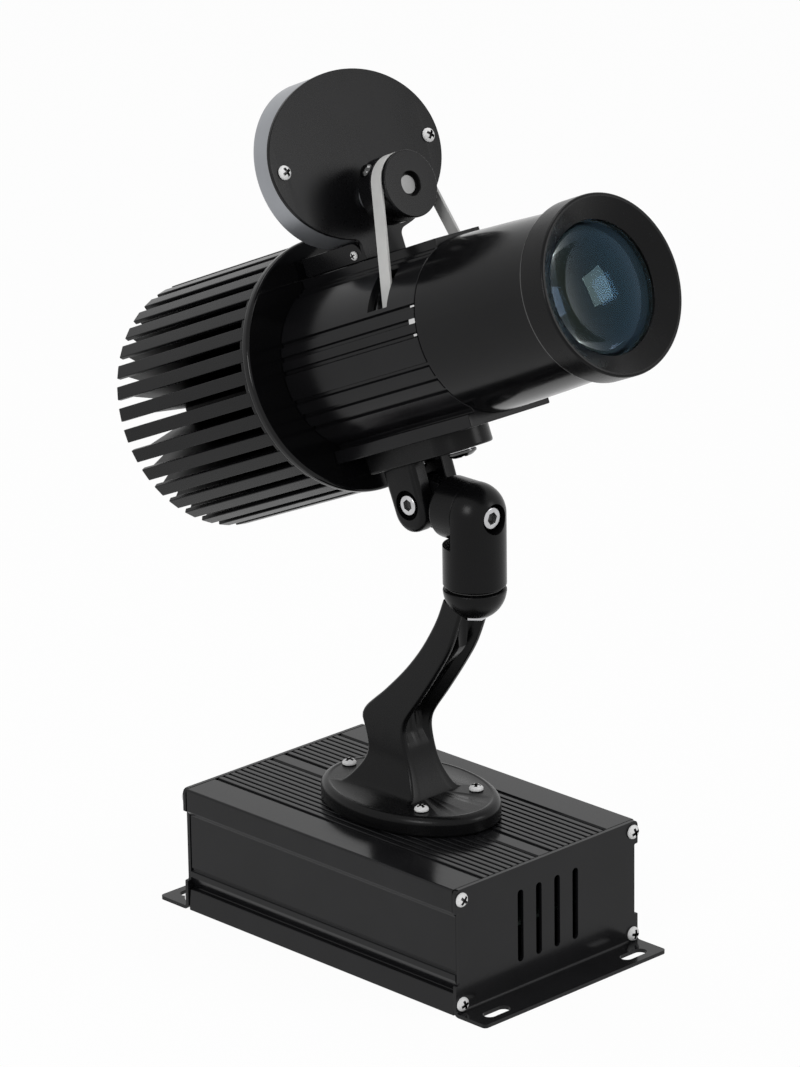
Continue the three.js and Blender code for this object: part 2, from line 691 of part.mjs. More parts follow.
// The elbow: a post with a domed top, halved behind to take the knuckle
const elbowPost = turnUp([
  [0, elbowBottom],
  [SWIVEL_RADIUS - SOFT_EDGE, elbowBottom],
  [SWIVEL_RADIUS, elbowBottom + SOFT_EDGE],
  ...arcPoints(0, TILT_Z, SWIVEL_RADIUS, 0, 90, DOME_STEPS),
].map(([r, z]) => [r < WELD ? 0 : r, z]), MEDIUM).translate(0, PAN_Y, 0);
const halving = block(4 * SWIVEL_RADIUS, 2 * SWIVEL_RADIUS, 2 * SWIVEL_RADIUS + OVERRUN)
  .translate(0, ELBOW_FACE_Y + SWIVEL_RADIUS, ELBOW_SHOULDER_Z);
const elbowFront = PAN_Y - SWIVEL_RADIUS;
const rollHeadSeat = elbowFront + ROLL_RECESS;
const capHole = CAP_SHANK_RADIUS + RUNNING_GAP;
place(projector, "elbow", cut(
  elbowPost,
  halving,
  turnForward(rod(CAP_RECESS_RADIUS, 0, ROLL_RECESS + OVERRUN), COARSE).translate(0, rollHeadSeat, TILT_Z),
  turnForward(rod(capHole, -2 * SWIVEL_RADIUS, OVERRUN), SMALL).translate(0, rollHeadSeat, TILT_Z),
  turnUp(rod(panHole, elbowBottom - OVERRUN, elbowBottom + PAN_BOLT_GRIP + RUNNING_GAP), SMALL)
    .translate(0, PAN_Y, 0),
), BLACK_PLASTIC);

// A cap screw with a hexagon socket, its head in front of station 0
function capScrew(headLength, shankLength) {
  const socket = CAP_HEAD_RADIUS / 2;
  return cut(
    turn([
      [0, -shankLength], [CAP_SHANK_RADIUS, -shankLength], [CAP_SHANK_RADIUS, 0], [CAP_HEAD_RADIUS, 0],
      [CAP_HEAD_RADIUS, headLength], [0, headLength],
    ], COARSE),
    hexRod(socket, headLength / 3, headLength + OVERRUN),
  );
}

// The roll joint: a cap screw through the elbow into the knuckle
const knuckleFront = ELBOW_FACE_Y + SEAT_GAP;
const knuckleRear = knuckleFront + KNUCKLE_LENGTH;
const knuckleRadius = SWIVEL_RADIUS - KNUCKLE_STEP;
const rollShank = knuckleFront + ROLL_GRIP - rollHeadSeat;
place(projector, "roll_bolt", capScrew(CAP_HEAD_LENGTH, rollShank).rotateX(Math.PI)
  .translate(0, rollHeadSeat - SEAT_GAP, TILT_Z), BRIGHT_STEEL);

// The knuckle: a round face against the elbow and a flat tongue to the tilt axis
const tongue = sweepAcross([
  ...arcPoints(TILT_Y, TILT_Z, TONGUE_RADIUS, -90, 90, SMALL),
  [knuckleRear - FULL_EDGE, TILT_Z + TONGUE_RADIUS],
  [knuckleRear - FULL_EDGE, TILT_Z - TONGUE_RADIUS],
], TONGUE_THICKNESS);
const knuckleDisc = turnForward([
  [0, 0], [knuckleRadius - FULL_EDGE, 0], [knuckleRadius, FULL_EDGE], [knuckleRadius, KNUCKLE_LENGTH],
  [0, KNUCKLE_LENGTH],
], MEDIUM).translate(0, knuckleRear, TILT_Z);
place(projector, "knuckle", cut(
  join(knuckleDisc, tongue),
  turnForward(rod(capHole, 0, ROLL_GRIP + OVERRUN), SMALL)
    .translate(0, knuckleFront + ROLL_GRIP + RUNNING_GAP, TILT_Z),
  turnAcross(rod(capHole, -TONGUE_THICKNESS, TONGUE_THICKNESS), SMALL).translate(0, TILT_Y, TILT_Z),
), BLACK_PLASTIC);

// The head hangs on the tilt axis: its own y runs backwards and its own z up from there
const head = new THREE.Group();
head.position.set(0, TILT_Y, TILT_Z);
head.rotation.x = radians(-TILT_REST_DEGREES);
projector.add(head);
// On the lens axis, y runs backwards from the tilt axis
const optics = new THREE.Group();
optics.position.z = LENS_AXIS_UP;
head.add(optics);

// The fork: a foot plate under the rail and two ears round the tongue
const railDrop = TUBE_RADIUS + RAIL_STAND;
const railBottom = LENS_AXIS_UP - railDrop;
const footPlateTop = railBottom - SEAT_GAP;
const footPlateBottom = footPlateTop - FOOT_THICKNESS;
const footPlate = extrude([
  ...arcPoints(0, -FOOT_FRONT + FOOT_WIDTH / 2, FOOT_WIDTH / 2, 180, 360, COARSE / 2),
  ...arcPoints(FOOT_WIDTH / 2 - FOOT_CORNER, FOOT_REAR - FOOT_CORNER, FOOT_CORNER, 0, 90, ROUND_STEPS),
  ...arcPoints(-FOOT_WIDTH / 2 + FOOT_CORNER, FOOT_REAR - FOOT_CORNER, FOOT_CORNER, 90, 180, ROUND_STEPS),
], FOOT_THICKNESS).translate(0, 0, footPlateBottom);
const earSide = (EAR_OUTER - EAR_GAP) / 2;
const earOutline = [
  ...arcPoints(EAR_REAR - EAR_RADIUS, -EAR_DROP, EAR_RADIUS, -180, 0, SMALL),
  [EAR_REAR, footPlateBottom + FULL_EDGE],
  [-EAR_FRONT_TOP, footPlateBottom + FULL_EDGE],
];
const earMiddle = (EAR_GAP + earSide) / 2;
const foot = join(
  footPlate,
  sweepAcross(earOutline, earSide).translate(-earMiddle, 0, 0),
  sweepAcross(earOutline, earSide).translate(earMiddle, 0, 0),
);
const tiltHeadSeat = -EAR_OUTER / 2 + TILT_RECESS;
const nutSeat = EAR_OUTER / 2 - NUT_LENGTH;
const footHole = FOOT_SCREW_RADIUS + RUNNING_GAP;
const footScrews = [
  ["foot_screw_front", FOOT_SCREW_FORWARD, FOOT_SCREW_HEAD_RADIUS],
  ["foot_screw_inner", 0, INNER_SCREW_HEAD_RADIUS],
];
place(head, "mount_fork", cut(
  foot,
  turnAcross(rod(capHole, -EAR_OUTER, EAR_OUTER), SMALL),
  turnAcross(rod(CAP_RECESS_RADIUS, -EAR_OUTER, tiltHeadSeat), COARSE),
  turnAcross(rod(NUT_RADIUS + RUNNING_GAP, nutSeat, EAR_OUTER), COARSE),
  ...footScrews.map(([, forward]) =>
    turnUp(rod(footHole, footPlateBottom - OVERRUN, footPlateTop + OVERRUN), TINY).translate(0, -forward, 0)),
), BLACK_PLASTIC);
for (const [name, forward, headRadius] of footScrews) {
  const reach = FOOT_THICKNESS + FOOT_SCREW_ENTRY;
  const screw = turnUp(panScrew(headRadius, FOOT_SCREW_HEAD, FOOT_SCREW_RADIUS, reach), SMALL)
    .rotateX(Math.PI);
  place(head, name, screw, BRIGHT_STEEL).position.set(0, -forward, footPlateBottom - SEAT_GAP);
}

// The tilt joint: a cap screw through both ears and the tongue, and its nut
const tiltShank = nutSeat + NUT_LENGTH / 2 - tiltHeadSeat;
place(head, "tilt_bolt", capScrew(TILT_HEAD_LENGTH, tiltShank).rotateZ(Math.PI / 2)
  .translate(tiltHeadSeat - SEAT_GAP, 0, 0), BRIGHT_STEEL);
place(head, "tilt_nut", cut(
  hexRod(NUT_RADIUS, nutSeat + SEAT_GAP, nutSeat + NUT_LENGTH - SEAT_GAP),
  turn(rod(capHole, nutSeat - OVERRUN, nutSeat + NUT_LENGTH + OVERRUN), SMALL),
).rotateZ(-Math.PI / 2), BRIGHT_STEEL);

// The body tube: ribbed outline with a rail below and a pad above, swept along the lens axis
const padRise = TUBE_RADIUS + PAD_STAND;
const tubeBore = TUBE_RADIUS - TUBE_WALL;
function tubeOutline() {
  const half = [];
  const flute = THREE.MathUtils.radToDeg(FLUTE_WIDTH / 2 / TUBE_RADIUS);
  const shoulder = RAIL_SHOULDER_DEGREES;
  const padDegrees = THREE.MathUtils.radToDeg(Math.acos(PAD_HALF_WIDTH / TUBE_RADIUS));
  half.push([RAIL_HALF_WIDTH, -railDrop], [RAIL_HALF_WIDTH, -railDrop + RAIL_HEIGHT]);
  half.push([RAIL_NECK, -railDrop + RAIL_HEIGHT]);
  let degrees = shoulder;
  const onTube = (d, depth = 0) => [
    (TUBE_RADIUS - depth) * Math.cos(radians(d)),
    (TUBE_RADIUS - depth) * Math.sin(radians(d)),
  ];
  for (const middle of [...FLUTE_DEGREES, padDegrees]) {
    const stop = middle === padDegrees ? middle : middle - flute;
    const steps = Math.max(1, Math.round((stop - degrees) / TUBE_FACET_DEGREES));
    for (let i = 0; i <= steps; i++) half.push(onTube(degrees + ((stop - degrees) * i) / steps));
    if (middle === padDegrees) break;
    half.push(onTube(middle - flute / 2, FLUTE_DEPTH), onTube(middle + flute / 2, FLUTE_DEPTH));
    degrees = middle + flute;
  }
  half.push([PAD_HALF_WIDTH, padRise]);
  return [...half, ...mirrored(half)];
}
const slotSector = [
  ...arcPoints(0, 0, tubeBore - OVERRUN, BELT_SLOT_FROM_DEGREES, BELT_SLOT_TO_DEGREES, 5),
  ...arcPoints(0, 0, TUBE_RADIUS + OVERRUN, BELT_SLOT_TO_DEGREES, BELT_SLOT_FROM_DEGREES, 5),
];
const tubeRear = TUBE_FRONT - TUBE_LENGTH;
const beltSlots = [slotSector, mirrored(slotSector)].map((points) =>
  sweepForward(points, BELT_SLOT_LENGTH).translate(0, -BELT_FORWARD + BELT_SLOT_LENGTH / 2, 0));
place(optics, "body_tube", cut(
  sweepForward(tubeOutline(), TUBE_LENGTH, [circle(tubeBore, FINE)]).translate(0, -tubeRear, 0),
  ...beltSlots,
  ...footScrews.map(([, forward]) =>
    turnUp(rod(footHole, -railDrop - OVERRUN, -railDrop + FOOT_SCREW_ENTRY), TINY)
      .translate(0, -forward, 0)),
), ANODISED);

// The rear flange: a turned disc behind the tube
const discFront = tubeRear - SEAT_GAP;
const discRear = discFront - DISC_THICKNESS;
const discRadius = CAGE_RADIUS + DISC_LIP;
const sinkBore = SINK_NOSE_RADIUS + SEAT_GAP;
place(optics, "rear_flange", turnForward([
  [sinkBore, discRear],
  ...arcPoints(discRadius - DISC_ROUND, discRear + DISC_ROUND, DISC_ROUND, -90, 0, EDGE_STEPS),
  ...arcPoints(discRadius - DISC_ROUND, discFront - DISC_ROUND, DISC_ROUND, 0, 90, EDGE_STEPS),
  [sinkBore, discFront],
], FINE), BLACK_COAT);

// The cage: a ring with flat strips that run back from it, side by side
const cageFront = discRear - SEAT_GAP;
const cageRear = cageFront - CAGE_LENGTH;
const ringRear = cageFront - CAGE_RING;
const stripMiddle = CAGE_RADIUS - STRIP_THICKNESS / 2;
const strips = Array.from({ length: STRIPS }, (_, i) =>
  new THREE.BoxGeometry(STRIP_THICKNESS, CAGE_LENGTH, STRIP_WIDTH)
    .translate(stripMiddle, -(cageFront + cageRear) / 2, 0)
    .rotateY(radians(-STRIP_TURN_DEGREES - (360 * i) / STRIPS)));
const cageRing = turnForward(ring(CAGE_RADIUS - STRIP_THICKNESS / 4, CAGE_RADIUS - CAGE_RING_DEPTH, ringRear,
  cageFront), FINE);
place(optics, "cage", join(cageRing, ...strips), BLACK_COAT);

// The heat sink: a core with one radial fin behind each strip, and a nose through the rear flange
const finTip = CAGE_RADIUS - STRIP_THICKNESS - SEAT_GAP;
const finFront = ringRear - SEAT_GAP;
const finOutline = [];
for (let i = 0; i < STRIPS; i++) {
  const middle = STRIP_TURN_DEGREES + (360 * i) / STRIPS;
  const [cos, sin] = [Math.cos(radians(middle)), Math.sin(radians(middle))];
  const half = FIN_THICKNESS / 2;
  const root = Math.sqrt(SINK_CORE_RADIUS * SINK_CORE_RADIUS - half * half);
  for (const [r, side] of [[root, -half], [finTip, -half], [finTip, half], [root, half]]) {
    finOutline.push([r * cos - side * sin, r * sin + side * cos]);
  }
}
const sinkFront = discFront;
place(optics, "heat_sink", join(
  sweepForward(finOutline, FIN_LENGTH).translate(0, -finFront + FIN_LENGTH, 0),
  turnForward(rod(SINK_NOSE_RADIUS, finFront - OVERRUN, sinkFront), MEDIUM),
), ANODISED);

// The lamp: a round board with its domed emitter, on the sink's nose
const lampRear = sinkFront + SEAT_GAP;
const lampFace = lampRear + LED_BOARD;
place(optics, "led_module", turnForward([
  [0, lampRear],
  [SINK_NOSE_RADIUS - LED_BOARD_INSET, lampRear],
  [SINK_NOSE_RADIUS - LED_BOARD_INSET, lampFace],
  ...arcPoints(0, lampFace, LED_DOME_RADIUS, 0, 90, 4),
].map(([r, f]) => [r < WELD ? 0 : r, f]), COARSE), RAW_ALUMINIUM);

// The condenser: a lens between two lips of its holder, pressed in the tube
const holderOuter = tubeBore - SEAT_GAP;
const condenserRadius = holderOuter - CONDENSER_WALL;
const condenserSeat = condenserRadius + SEAT_GAP;
const holderRear = CONDENSER_FORWARD - CONDENSER_LENGTH / 2;
const holderFront = CONDENSER_FORWARD + CONDENSER_LENGTH / 2;
const condenserRear = holderRear + CONDENSER_LIP + SEAT_GAP;
place(optics, "condenser_holder", turnForward([
  [condenserRadius - CONDENSER_LIP, holderRear],
  [holderOuter, holderRear],
  [holderOuter, holderFront],
  [condenserSeat, holderFront],
  [condenserSeat, holderRear + CONDENSER_LIP],
  [condenserRadius - CONDENSER_LIP, holderRear + CONDENSER_LIP],
], MEDIUM), BLACK_COAT);
place(optics, "condenser_lens",
  turnForward(domedLens(condenserRadius, CONDENSER_EDGE, CONDENSER_SAG, 4), COARSE)
    .translate(0, -condenserRear, 0), COATED_GLASS);

// The gobo's bearing: a ring held in the tube
const rotorRim = tubeBore - ROTOR_RIM_GAP;
const rotorSeat = rotorRim - ROTOR_SEAT_DEPTH;
const rotorSpigot = rotorSeat - ROTOR_SPIGOT_STEP;
const rotorRear = BELT_FORWARD - BELT_SEAT_WIDTH / 2 - ROTOR_FLANGE;
const rotorFront = BELT_FORWARD + BELT_SEAT_WIDTH / 2 + ROTOR_FLANGE;
const bearingFront = rotorRear - RUNNING_GAP;
place(optics, "gobo_bearing", turnForward(
  ring(holderOuter, rotorSpigot + RUNNING_GAP, bearingFront - BEARING_LENGTH, bearingFront), MEDIUM,
), BRIGHT_STEEL);

// The rotor: a belt wheel with a spigot in the bearing and a seat for the gobo
const goboRadius = rotorSpigot - GOBO_INSET;
const goboSeat = goboRadius + SEAT_GAP;
place(optics, "gobo_rotor", turnForward([
  [goboRadius - GOBO_LEDGE, rotorRear - ROTOR_SPIGOT_LENGTH],
  [rotorSpigot, rotorRear - ROTOR_SPIGOT_LENGTH],
  [rotorSpigot, rotorRear],
  [rotorRim, rotorRear],
  [rotorRim, rotorRear + ROTOR_FLANGE],
  [rotorSeat, rotorRear + ROTOR_FLANGE],
  [rotorSeat, rotorFront - ROTOR_FLANGE],
  [rotorRim, rotorFront - ROTOR_FLANGE],
  [rotorRim, rotorFront],
  [goboSeat, rotorFront],
  [goboSeat, rotorFront - GOBO_SEAT_DEPTH],
  [goboRadius - GOBO_LEDGE, rotorFront - GOBO_SEAT_DEPTH],
], MEDIUM), BLACK_COAT);
const goboRear = rotorFront - GOBO_SEAT_DEPTH + SEAT_GAP;
const goboFront = goboRear + GOBO_THICKNESS;
const ringSeat = goboFront + SEAT_GAP;
place(optics, "gobo",
  turnForward(ring(goboRadius, GOBO_WINDOW, goboRear, goboFront), MEDIUM), BRIGHT_STEEL);
place(optics, "gobo_ring", turnForward(
  ring(goboRadius, goboRadius - GOBO_RING_WIDTH, ringSeat, ringSeat + GOBO_RING_HEIGHT), MEDIUM,
), BRIGHT_STEEL);

// The belt: a flat loop round the pulley and the rotor
function loopPoints(lowerRadius, upperRadius) {
  const lean = THREE.MathUtils.radToDeg(Math.asin((lowerRadius - upperRadius) / PULLEY_UP));
  return [
    ...arcPoints(0, 0, lowerRadius, -180 - lean, lean, COARSE),
    ...arcPoints(0, PULLEY_UP, upperRadius, lean, 180 - lean, COARSE),
  ];
}
const beltInner = [rotorSeat + SEAT_GAP, PULLEY_SEAT_RADIUS + SEAT_GAP];
const beltOuter = beltInner.map((radius) => radius + BELT_THICKNESS);
place(optics, "belt",
  sweepForward(loopPoints(...beltOuter), BELT_WIDTH, [loopPoints(...beltInner)])
    .translate(0, -BELT_FORWARD + BELT_WIDTH / 2, 0), GREY_BELT);

// The drive pulley on the motor's shaft, held by a set screw
const pulleySeatRear = BELT_FORWARD - BELT_SEAT_WIDTH / 2;
const pulleySeatFront = BELT_FORWARD + BELT_SEAT_WIDTH / 2;
const pulleyRear = pulleySeatRear - PULLEY_COLLAR;
const pulleyFront = pulleySeatFront + PULLEY_FRONT_RIM;
const shaftHole = SHAFT_RADIUS + RUNNING_GAP;
const setScrewForward = pulleySeatRear - SET_SCREW_BACK;
const setScrewTurn = radians(SET_SCREW_DEGREES - 90);
const pulley = new THREE.Group();
pulley.position.z = PULLEY_UP;
optics.add(pulley);
place(pulley, "drive_pulley", cut(
  turnForward([
    [shaftHole, pulleyRear],
    [PULLEY_RIM_RADIUS - SOFT_EDGE, pulleyRear],
    [PULLEY_RIM_RADIUS, pulleyRear + SOFT_EDGE],
    [PULLEY_RIM_RADIUS, pulleySeatRear],
    [PULLEY_SEAT_RADIUS, pulleySeatRear],
    [PULLEY_SEAT_RADIUS, pulleySeatFront],
    [PULLEY_RIM_RADIUS, pulleySeatFront],
    [PULLEY_RIM_RADIUS, pulleyFront - EDGE_BREAK],
    [PULLEY_RIM_RADIUS - EDGE_BREAK, pulleyFront],
    [PULLEY_RECESS_RADIUS, pulleyFront],
    [PULLEY_RECESS_RADIUS, pulleyFront - PULLEY_RECESS],
    [shaftHole, pulleyFront - PULLEY_RECESS],
  ], MEDIUM),
  turnUp(rod(SET_SCREW_RADIUS + RUNNING_GAP, SHAFT_RADIUS, PULLEY_RIM_RADIUS + OVERRUN), TINY)
    .rotateY(-setScrewTurn).translate(0, -setScrewForward, 0),
), BLACK_COAT);
place(pulley, "pulley_set_screw",
  turnUp(panScrew(SCREW_HEAD_RADIUS, SCREW_HEAD_HEIGHT, SET_SCREW_RADIUS,
    PULLEY_RIM_RADIUS - SHAFT_RADIUS - SEAT_GAP), SMALL)
    .translate(0, 0, PULLEY_RIM_RADIUS + SEAT_GAP).rotateY(-setScrewTurn)
    .translate(0, -setScrewForward, 0), BRIGHT_STEEL);
const bushFront = BRACKET_FORWARD - BRACKET_SHEET - SEAT_GAP + BUSH_LENGTH;
place(pulley, "motor_shaft",
  turnForward(rod(SHAFT_RADIUS, bushFront + RUNNING_GAP, pulleyFront - PULLEY_RECESS / 3), COARSE),
  BRIGHT_STEEL);

// The motor bracket: an oval sheet on a flared neck, with two cheeks folded back over a block
const motorUp = PULLEY_UP + SHAFT_OFFSET;
const cheekBottom = padRise + SEAT_GAP;
const ellipsePoints = (halfX, halfZ, sides) =>
  circle(1, sides).map(([x, z]) => [halfX * x, motorUp + halfZ * z]);
const neckOutline = [
  [-NECK_HALF_WIDTH, cheekBottom],
  [NECK_HALF_WIDTH, cheekBottom],
  [NECK_HALF_WIDTH, NECK_FLARE_UP],
  [NECK_FLARE, NECK_FLARE_UP + NECK_FLARE_HEIGHT],
  [NECK_FLARE, motorUp],
  [-NECK_FLARE, motorUp],
  [-NECK_FLARE, NECK_FLARE_UP + NECK_FLARE_HEIGHT],
  [-NECK_HALF_WIDTH, NECK_FLARE_UP],
];
const bracketRear = BRACKET_FORWARD - BRACKET_SHEET;
const cheekRear = bracketRear - CHEEK_LENGTH;
const cheekTop = cheekBottom + CHEEK_HEIGHT;
const cheekOutline = [
  [-bracketRear - BRACKET_SHEET / 2, cheekBottom],
  [-cheekRear, cheekBottom],
  [-cheekRear, cheekTop],
  ...arcPoints(-bracketRear + CHEEK_ROUND, cheekTop - CHEEK_ROUND, CHEEK_ROUND, 90, 180, 5),
  [-bracketRear - BRACKET_SHEET / 2, cheekTop - CHEEK_ROUND],
];
const cheekX = NECK_HALF_WIDTH - BRACKET_SHEET / 2;
const motorScrewHole = SCREW_RADIUS + RUNNING_GAP;
const cheekScrewHole = CHEEK_SCREW_SHANK_RADIUS + SEAT_GAP;
const cheekScrewY = -bracketRear + CHEEK_SCREW_BACK;
const cheekScrewUp = cheekBottom + CHEEK_SCREW_UP;
const plateStart = (geometry) => geometry.translate(0, -bracketRear, 0);
place(optics, "motor_bracket", cut(
  join(
    plateStart(sweepForward(ellipsePoints(OVAL_HALF_WIDTH, OVAL_HALF_HEIGHT, FINE), BRACKET_SHEET)),
    plateStart(sweepForward(neckOutline, BRACKET_SHEET)),
    sweepAcross(cheekOutline, BRACKET_SHEET).translate(-cheekX, 0, 0),
    sweepAcross(cheekOutline, BRACKET_SHEET).translate(cheekX, 0, 0),
  ),
  turnForward(rod(BUSH_RADIUS + RUNNING_GAP, bracketRear - OVERRUN, BRACKET_FORWARD + OVERRUN), COARSE)
    .translate(0, 0, PULLEY_UP),
  ...[-1, 1].map((side) =>
    turnForward(rod(motorScrewHole, bracketRear - OVERRUN, BRACKET_FORWARD + OVERRUN), TINY)
      .translate(side * MOTOR_SCREW_X, 0, motorUp)),
  turnAcross(rod(cheekScrewHole, -2 * NECK_HALF_WIDTH, 2 * NECK_HALF_WIDTH), TINY)
    .translate(0, cheekScrewY, cheekScrewUp),
), BLACK_COAT);
const blockWidth = 2 * (NECK_HALF_WIDTH - BRACKET_SHEET - SEAT_GAP);
const blockFront = bracketRear - SEAT_GAP;
place(optics, "motor_block", cut(
  block(blockWidth, CHEEK_LENGTH - SEAT_GAP, BLOCK_HEIGHT)
    .translate(0, -(blockFront + cheekRear) / 2, cheekBottom),
  turnAcross(rod(cheekScrewHole, -2 * NECK_HALF_WIDTH, 2 * NECK_HALF_WIDTH), TINY)
    .translate(0, cheekScrewY, cheekScrewUp),
), BLACK_COAT);
for (const [side, name] of [[-1, "left"], [1, "right"]]) {
  const reach = BRACKET_SHEET + CHEEK_SCREW_ENTRY;
  const screw = turnAcross(
    panScrew(CHEEK_SCREW_HEAD_RADIUS, CHEEK_SCREW_HEAD, CHEEK_SCREW_SHANK_RADIUS, reach), TINY);
  if (side < 0) screw.rotateZ(Math.PI);
  place(optics, "cheek_screw_" + name, screw, BRIGHT_STEEL)
    .position.set(side * (NECK_HALF_WIDTH + SEAT_GAP), cheekScrewY, cheekScrewUp);
}

// The motor: a flat can with two lugs, an off-centre bush and two screws
const lugFront = bracketRear - SEAT_GAP;
const canFront = lugFront - MOTOR_LUG;
const canRear = canFront - MOTOR_DEPTH;
const lugPlate = sweepForward(ellipsePoints(MOTOR_LUG_HALF_WIDTH, MOTOR_RADIUS / 2, FINE / 2), MOTOR_LUG)
  .translate(0, -canFront, 0);
const can = turnForward([
  [0, canRear],
  [MOTOR_RADIUS - MOTOR_ROUND, canRear],
  [MOTOR_RADIUS, canRear + MOTOR_ROUND],
  [MOTOR_RADIUS, canFront + MOTOR_LUG / 2],
  [0, canFront + MOTOR_LUG / 2],
], FINE).translate(0, 0, motorUp);
place(optics, "motor", cut(
  join(lugPlate, can, turnForward(rod(BUSH_RADIUS, canFront - OVERRUN, bushFront), COARSE)
    .translate(0, 0, PULLEY_UP)),
  ...[-1, 1].map((side) =>
    turnForward(rod(motorScrewHole, canRear - OVERRUN, lugFront + OVERRUN), TINY)
      .translate(side * MOTOR_SCREW_X, 0, motorUp)),
), SILVER_CAN);
for (const [side, name] of [[-1, "left"], [1, "right"]]) {
  const reach = BRACKET_SHEET + MOTOR_LUG + MOTOR_SCREW_ENTRY;
  const screw = turnForward(panScrew(MOTOR_SCREW_HEAD_RADIUS, SCREW_HEAD_HEIGHT, SCREW_RADIUS, reach), TINY);
  place(optics, "motor_screw_" + name, screw, BRIGHT_STEEL)
    .position.set(side * MOTOR_SCREW_X, -BRACKET_FORWARD - SEAT_GAP, motorUp);
}

// The lens barrel: a tapered sleeve with a spigot in the tube
const barrelRear = TUBE_FRONT + SEAT_GAP;
const barrelTip = TUBE_RADIUS - BARREL_TAPER;
const barrelBore = holderOuter - BARREL_WALL;
const barrelFront = barrelRear + BARREL_LENGTH;
const alongBarrel = (share) => barrelRear + share * BARREL_LENGTH;
place(optics, "lens_barrel", turnForward([
  [barrelBore, barrelRear - BARREL_SPIGOT],
  [holderOuter, barrelRear - BARREL_SPIGOT],
  [holderOuter, barrelRear],
  [TUBE_RADIUS - EDGE_BREAK, barrelRear],
  [TUBE_RADIUS, barrelRear + EDGE_BREAK],
  [TUBE_RADIUS - BARREL_WAIST_TAPER, alongBarrel(BARREL_WAIST_SHARE)],
  [barrelTip + SEAT_GAP, alongBarrel(BARREL_NECK_SHARE)],
  [barrelTip, barrelFront - EDGE_BREAK],
  [barrelTip - EDGE_BREAK, barrelFront],
  [barrelBore, barrelFront],
], FINE), BLACK_PLASTIC);

// The focus ring: a turned ring with a conical mouth, on the front of the lens cell
const ringRadius = TUBE_RADIUS + RING_RISE;
const ringFront = LENS_FRONT;
const focusRingRear = ringFront - RING_LENGTH;
const lipRear = ringFront - RING_CONE_DEPTH - RING_LIP;
const cellRadius = barrelBore - RUNNING_GAP;
place(optics, "focus_ring", turnForward([
  [barrelBore, focusRingRear],
  [ringRadius - SOFT_EDGE, focusRingRear],
  [ringRadius, focusRingRear + SOFT_EDGE],
  ...arcPoints(ringRadius - RING_ROUND, ringFront - RING_ROUND, RING_ROUND, 0, 90, EDGE_STEPS),
  [ringRadius - RING_RIM, ringFront],
  [barrelBore - RING_LIP_WIDTH, ringFront - RING_CONE_DEPTH],
  [barrelBore - RING_LIP_WIDTH, lipRear],
  [barrelBore, lipRear],
], FINE), BLACK_PLASTIC);

// The lens cell: a sleeve in the barrel with a lens seat at each end
const cellFront = lipRear - SEAT_GAP;
const cellRear = cellFront - CELL_LENGTH;
const lensSeatRadius = cellRadius - CELL_WALL;
const lensRadius = lensSeatRadius - SEAT_GAP;
const stopRadius = cellRadius - CELL_STOP_WALL;
const rearSeat = cellRear + REAR_SEAT_DEPTH;
place(optics, "lens_cell", turnForward([
  [lensSeatRadius, cellRear],
  [cellRadius, cellRear],
  [cellRadius, cellFront],
  [lensSeatRadius, cellFront],
  [lensSeatRadius, cellFront - FRONT_SEAT_DEPTH],
  [stopRadius, cellFront - FRONT_SEAT_DEPTH],
  [stopRadius, rearSeat],
  [lensSeatRadius, rearSeat],
], MEDIUM), BLACK_COAT);
place(optics, "front_lens",
  turnForward(domedLens(lensRadius, LENS_EDGE, FRONT_LENS_SAG, 5), MEDIUM)
    .translate(0, -cellFront + FRONT_SEAT_DEPTH - SEAT_GAP, 0), COATED_GLASS);
place(optics, "rear_lens",
  turnForward(domedLens(lensRadius, LENS_EDGE, REAR_LENS_SAG, 4), COARSE)
    .rotateX(Math.PI).translate(0, -rearSeat + SEAT_GAP, 0), COATED_GLASS);
const retainerFront = cellRear + RETAINER_LENGTH;
place(optics, "lens_retainer",
  turnForward(ring(lensRadius, stopRadius, cellRear, retainerFront), COARSE), BLACK_COAT);

export default projector;
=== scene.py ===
# Gobo projector: a tilted lamp head with a belt-driven gobo wheel, on a jointed arm over a driver box.
# Sizes are in millimetres until a piece is put in place; the lens looks towards -Y and +Z is up.
from math import acos, asin, atan2, cos, degrees, pi, radians, sin, sqrt, tan

import bmesh
import bpy
from mathutils import Euler, Matrix, Vector


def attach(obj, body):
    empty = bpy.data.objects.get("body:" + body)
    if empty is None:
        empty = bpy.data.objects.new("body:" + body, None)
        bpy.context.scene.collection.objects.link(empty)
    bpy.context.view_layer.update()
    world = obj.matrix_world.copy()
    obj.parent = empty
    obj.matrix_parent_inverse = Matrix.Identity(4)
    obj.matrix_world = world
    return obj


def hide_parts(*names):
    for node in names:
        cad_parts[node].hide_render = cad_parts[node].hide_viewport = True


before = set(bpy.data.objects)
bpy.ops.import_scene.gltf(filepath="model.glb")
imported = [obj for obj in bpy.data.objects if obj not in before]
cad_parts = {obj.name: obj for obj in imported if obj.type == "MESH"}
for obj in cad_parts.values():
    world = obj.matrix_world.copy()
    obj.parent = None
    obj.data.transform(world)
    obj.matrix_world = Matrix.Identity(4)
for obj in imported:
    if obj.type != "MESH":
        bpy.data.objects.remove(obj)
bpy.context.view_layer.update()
scene = bpy.context.scene
scene.view_settings.view_transform = "Standard"


# Driver housing
# The long box of the base: one aluminium extrusion, anodised black and sawn to length.
# Its sides are sunk between a wide upper lip and a lower band, and its lid carries two ribbed fields.
MM = 0.001
AS_DRAWN = Matrix.Identity(4)
FORWARD = Matrix.Rotation(radians(90), 4, "X")
EDGE_STEPS = 3


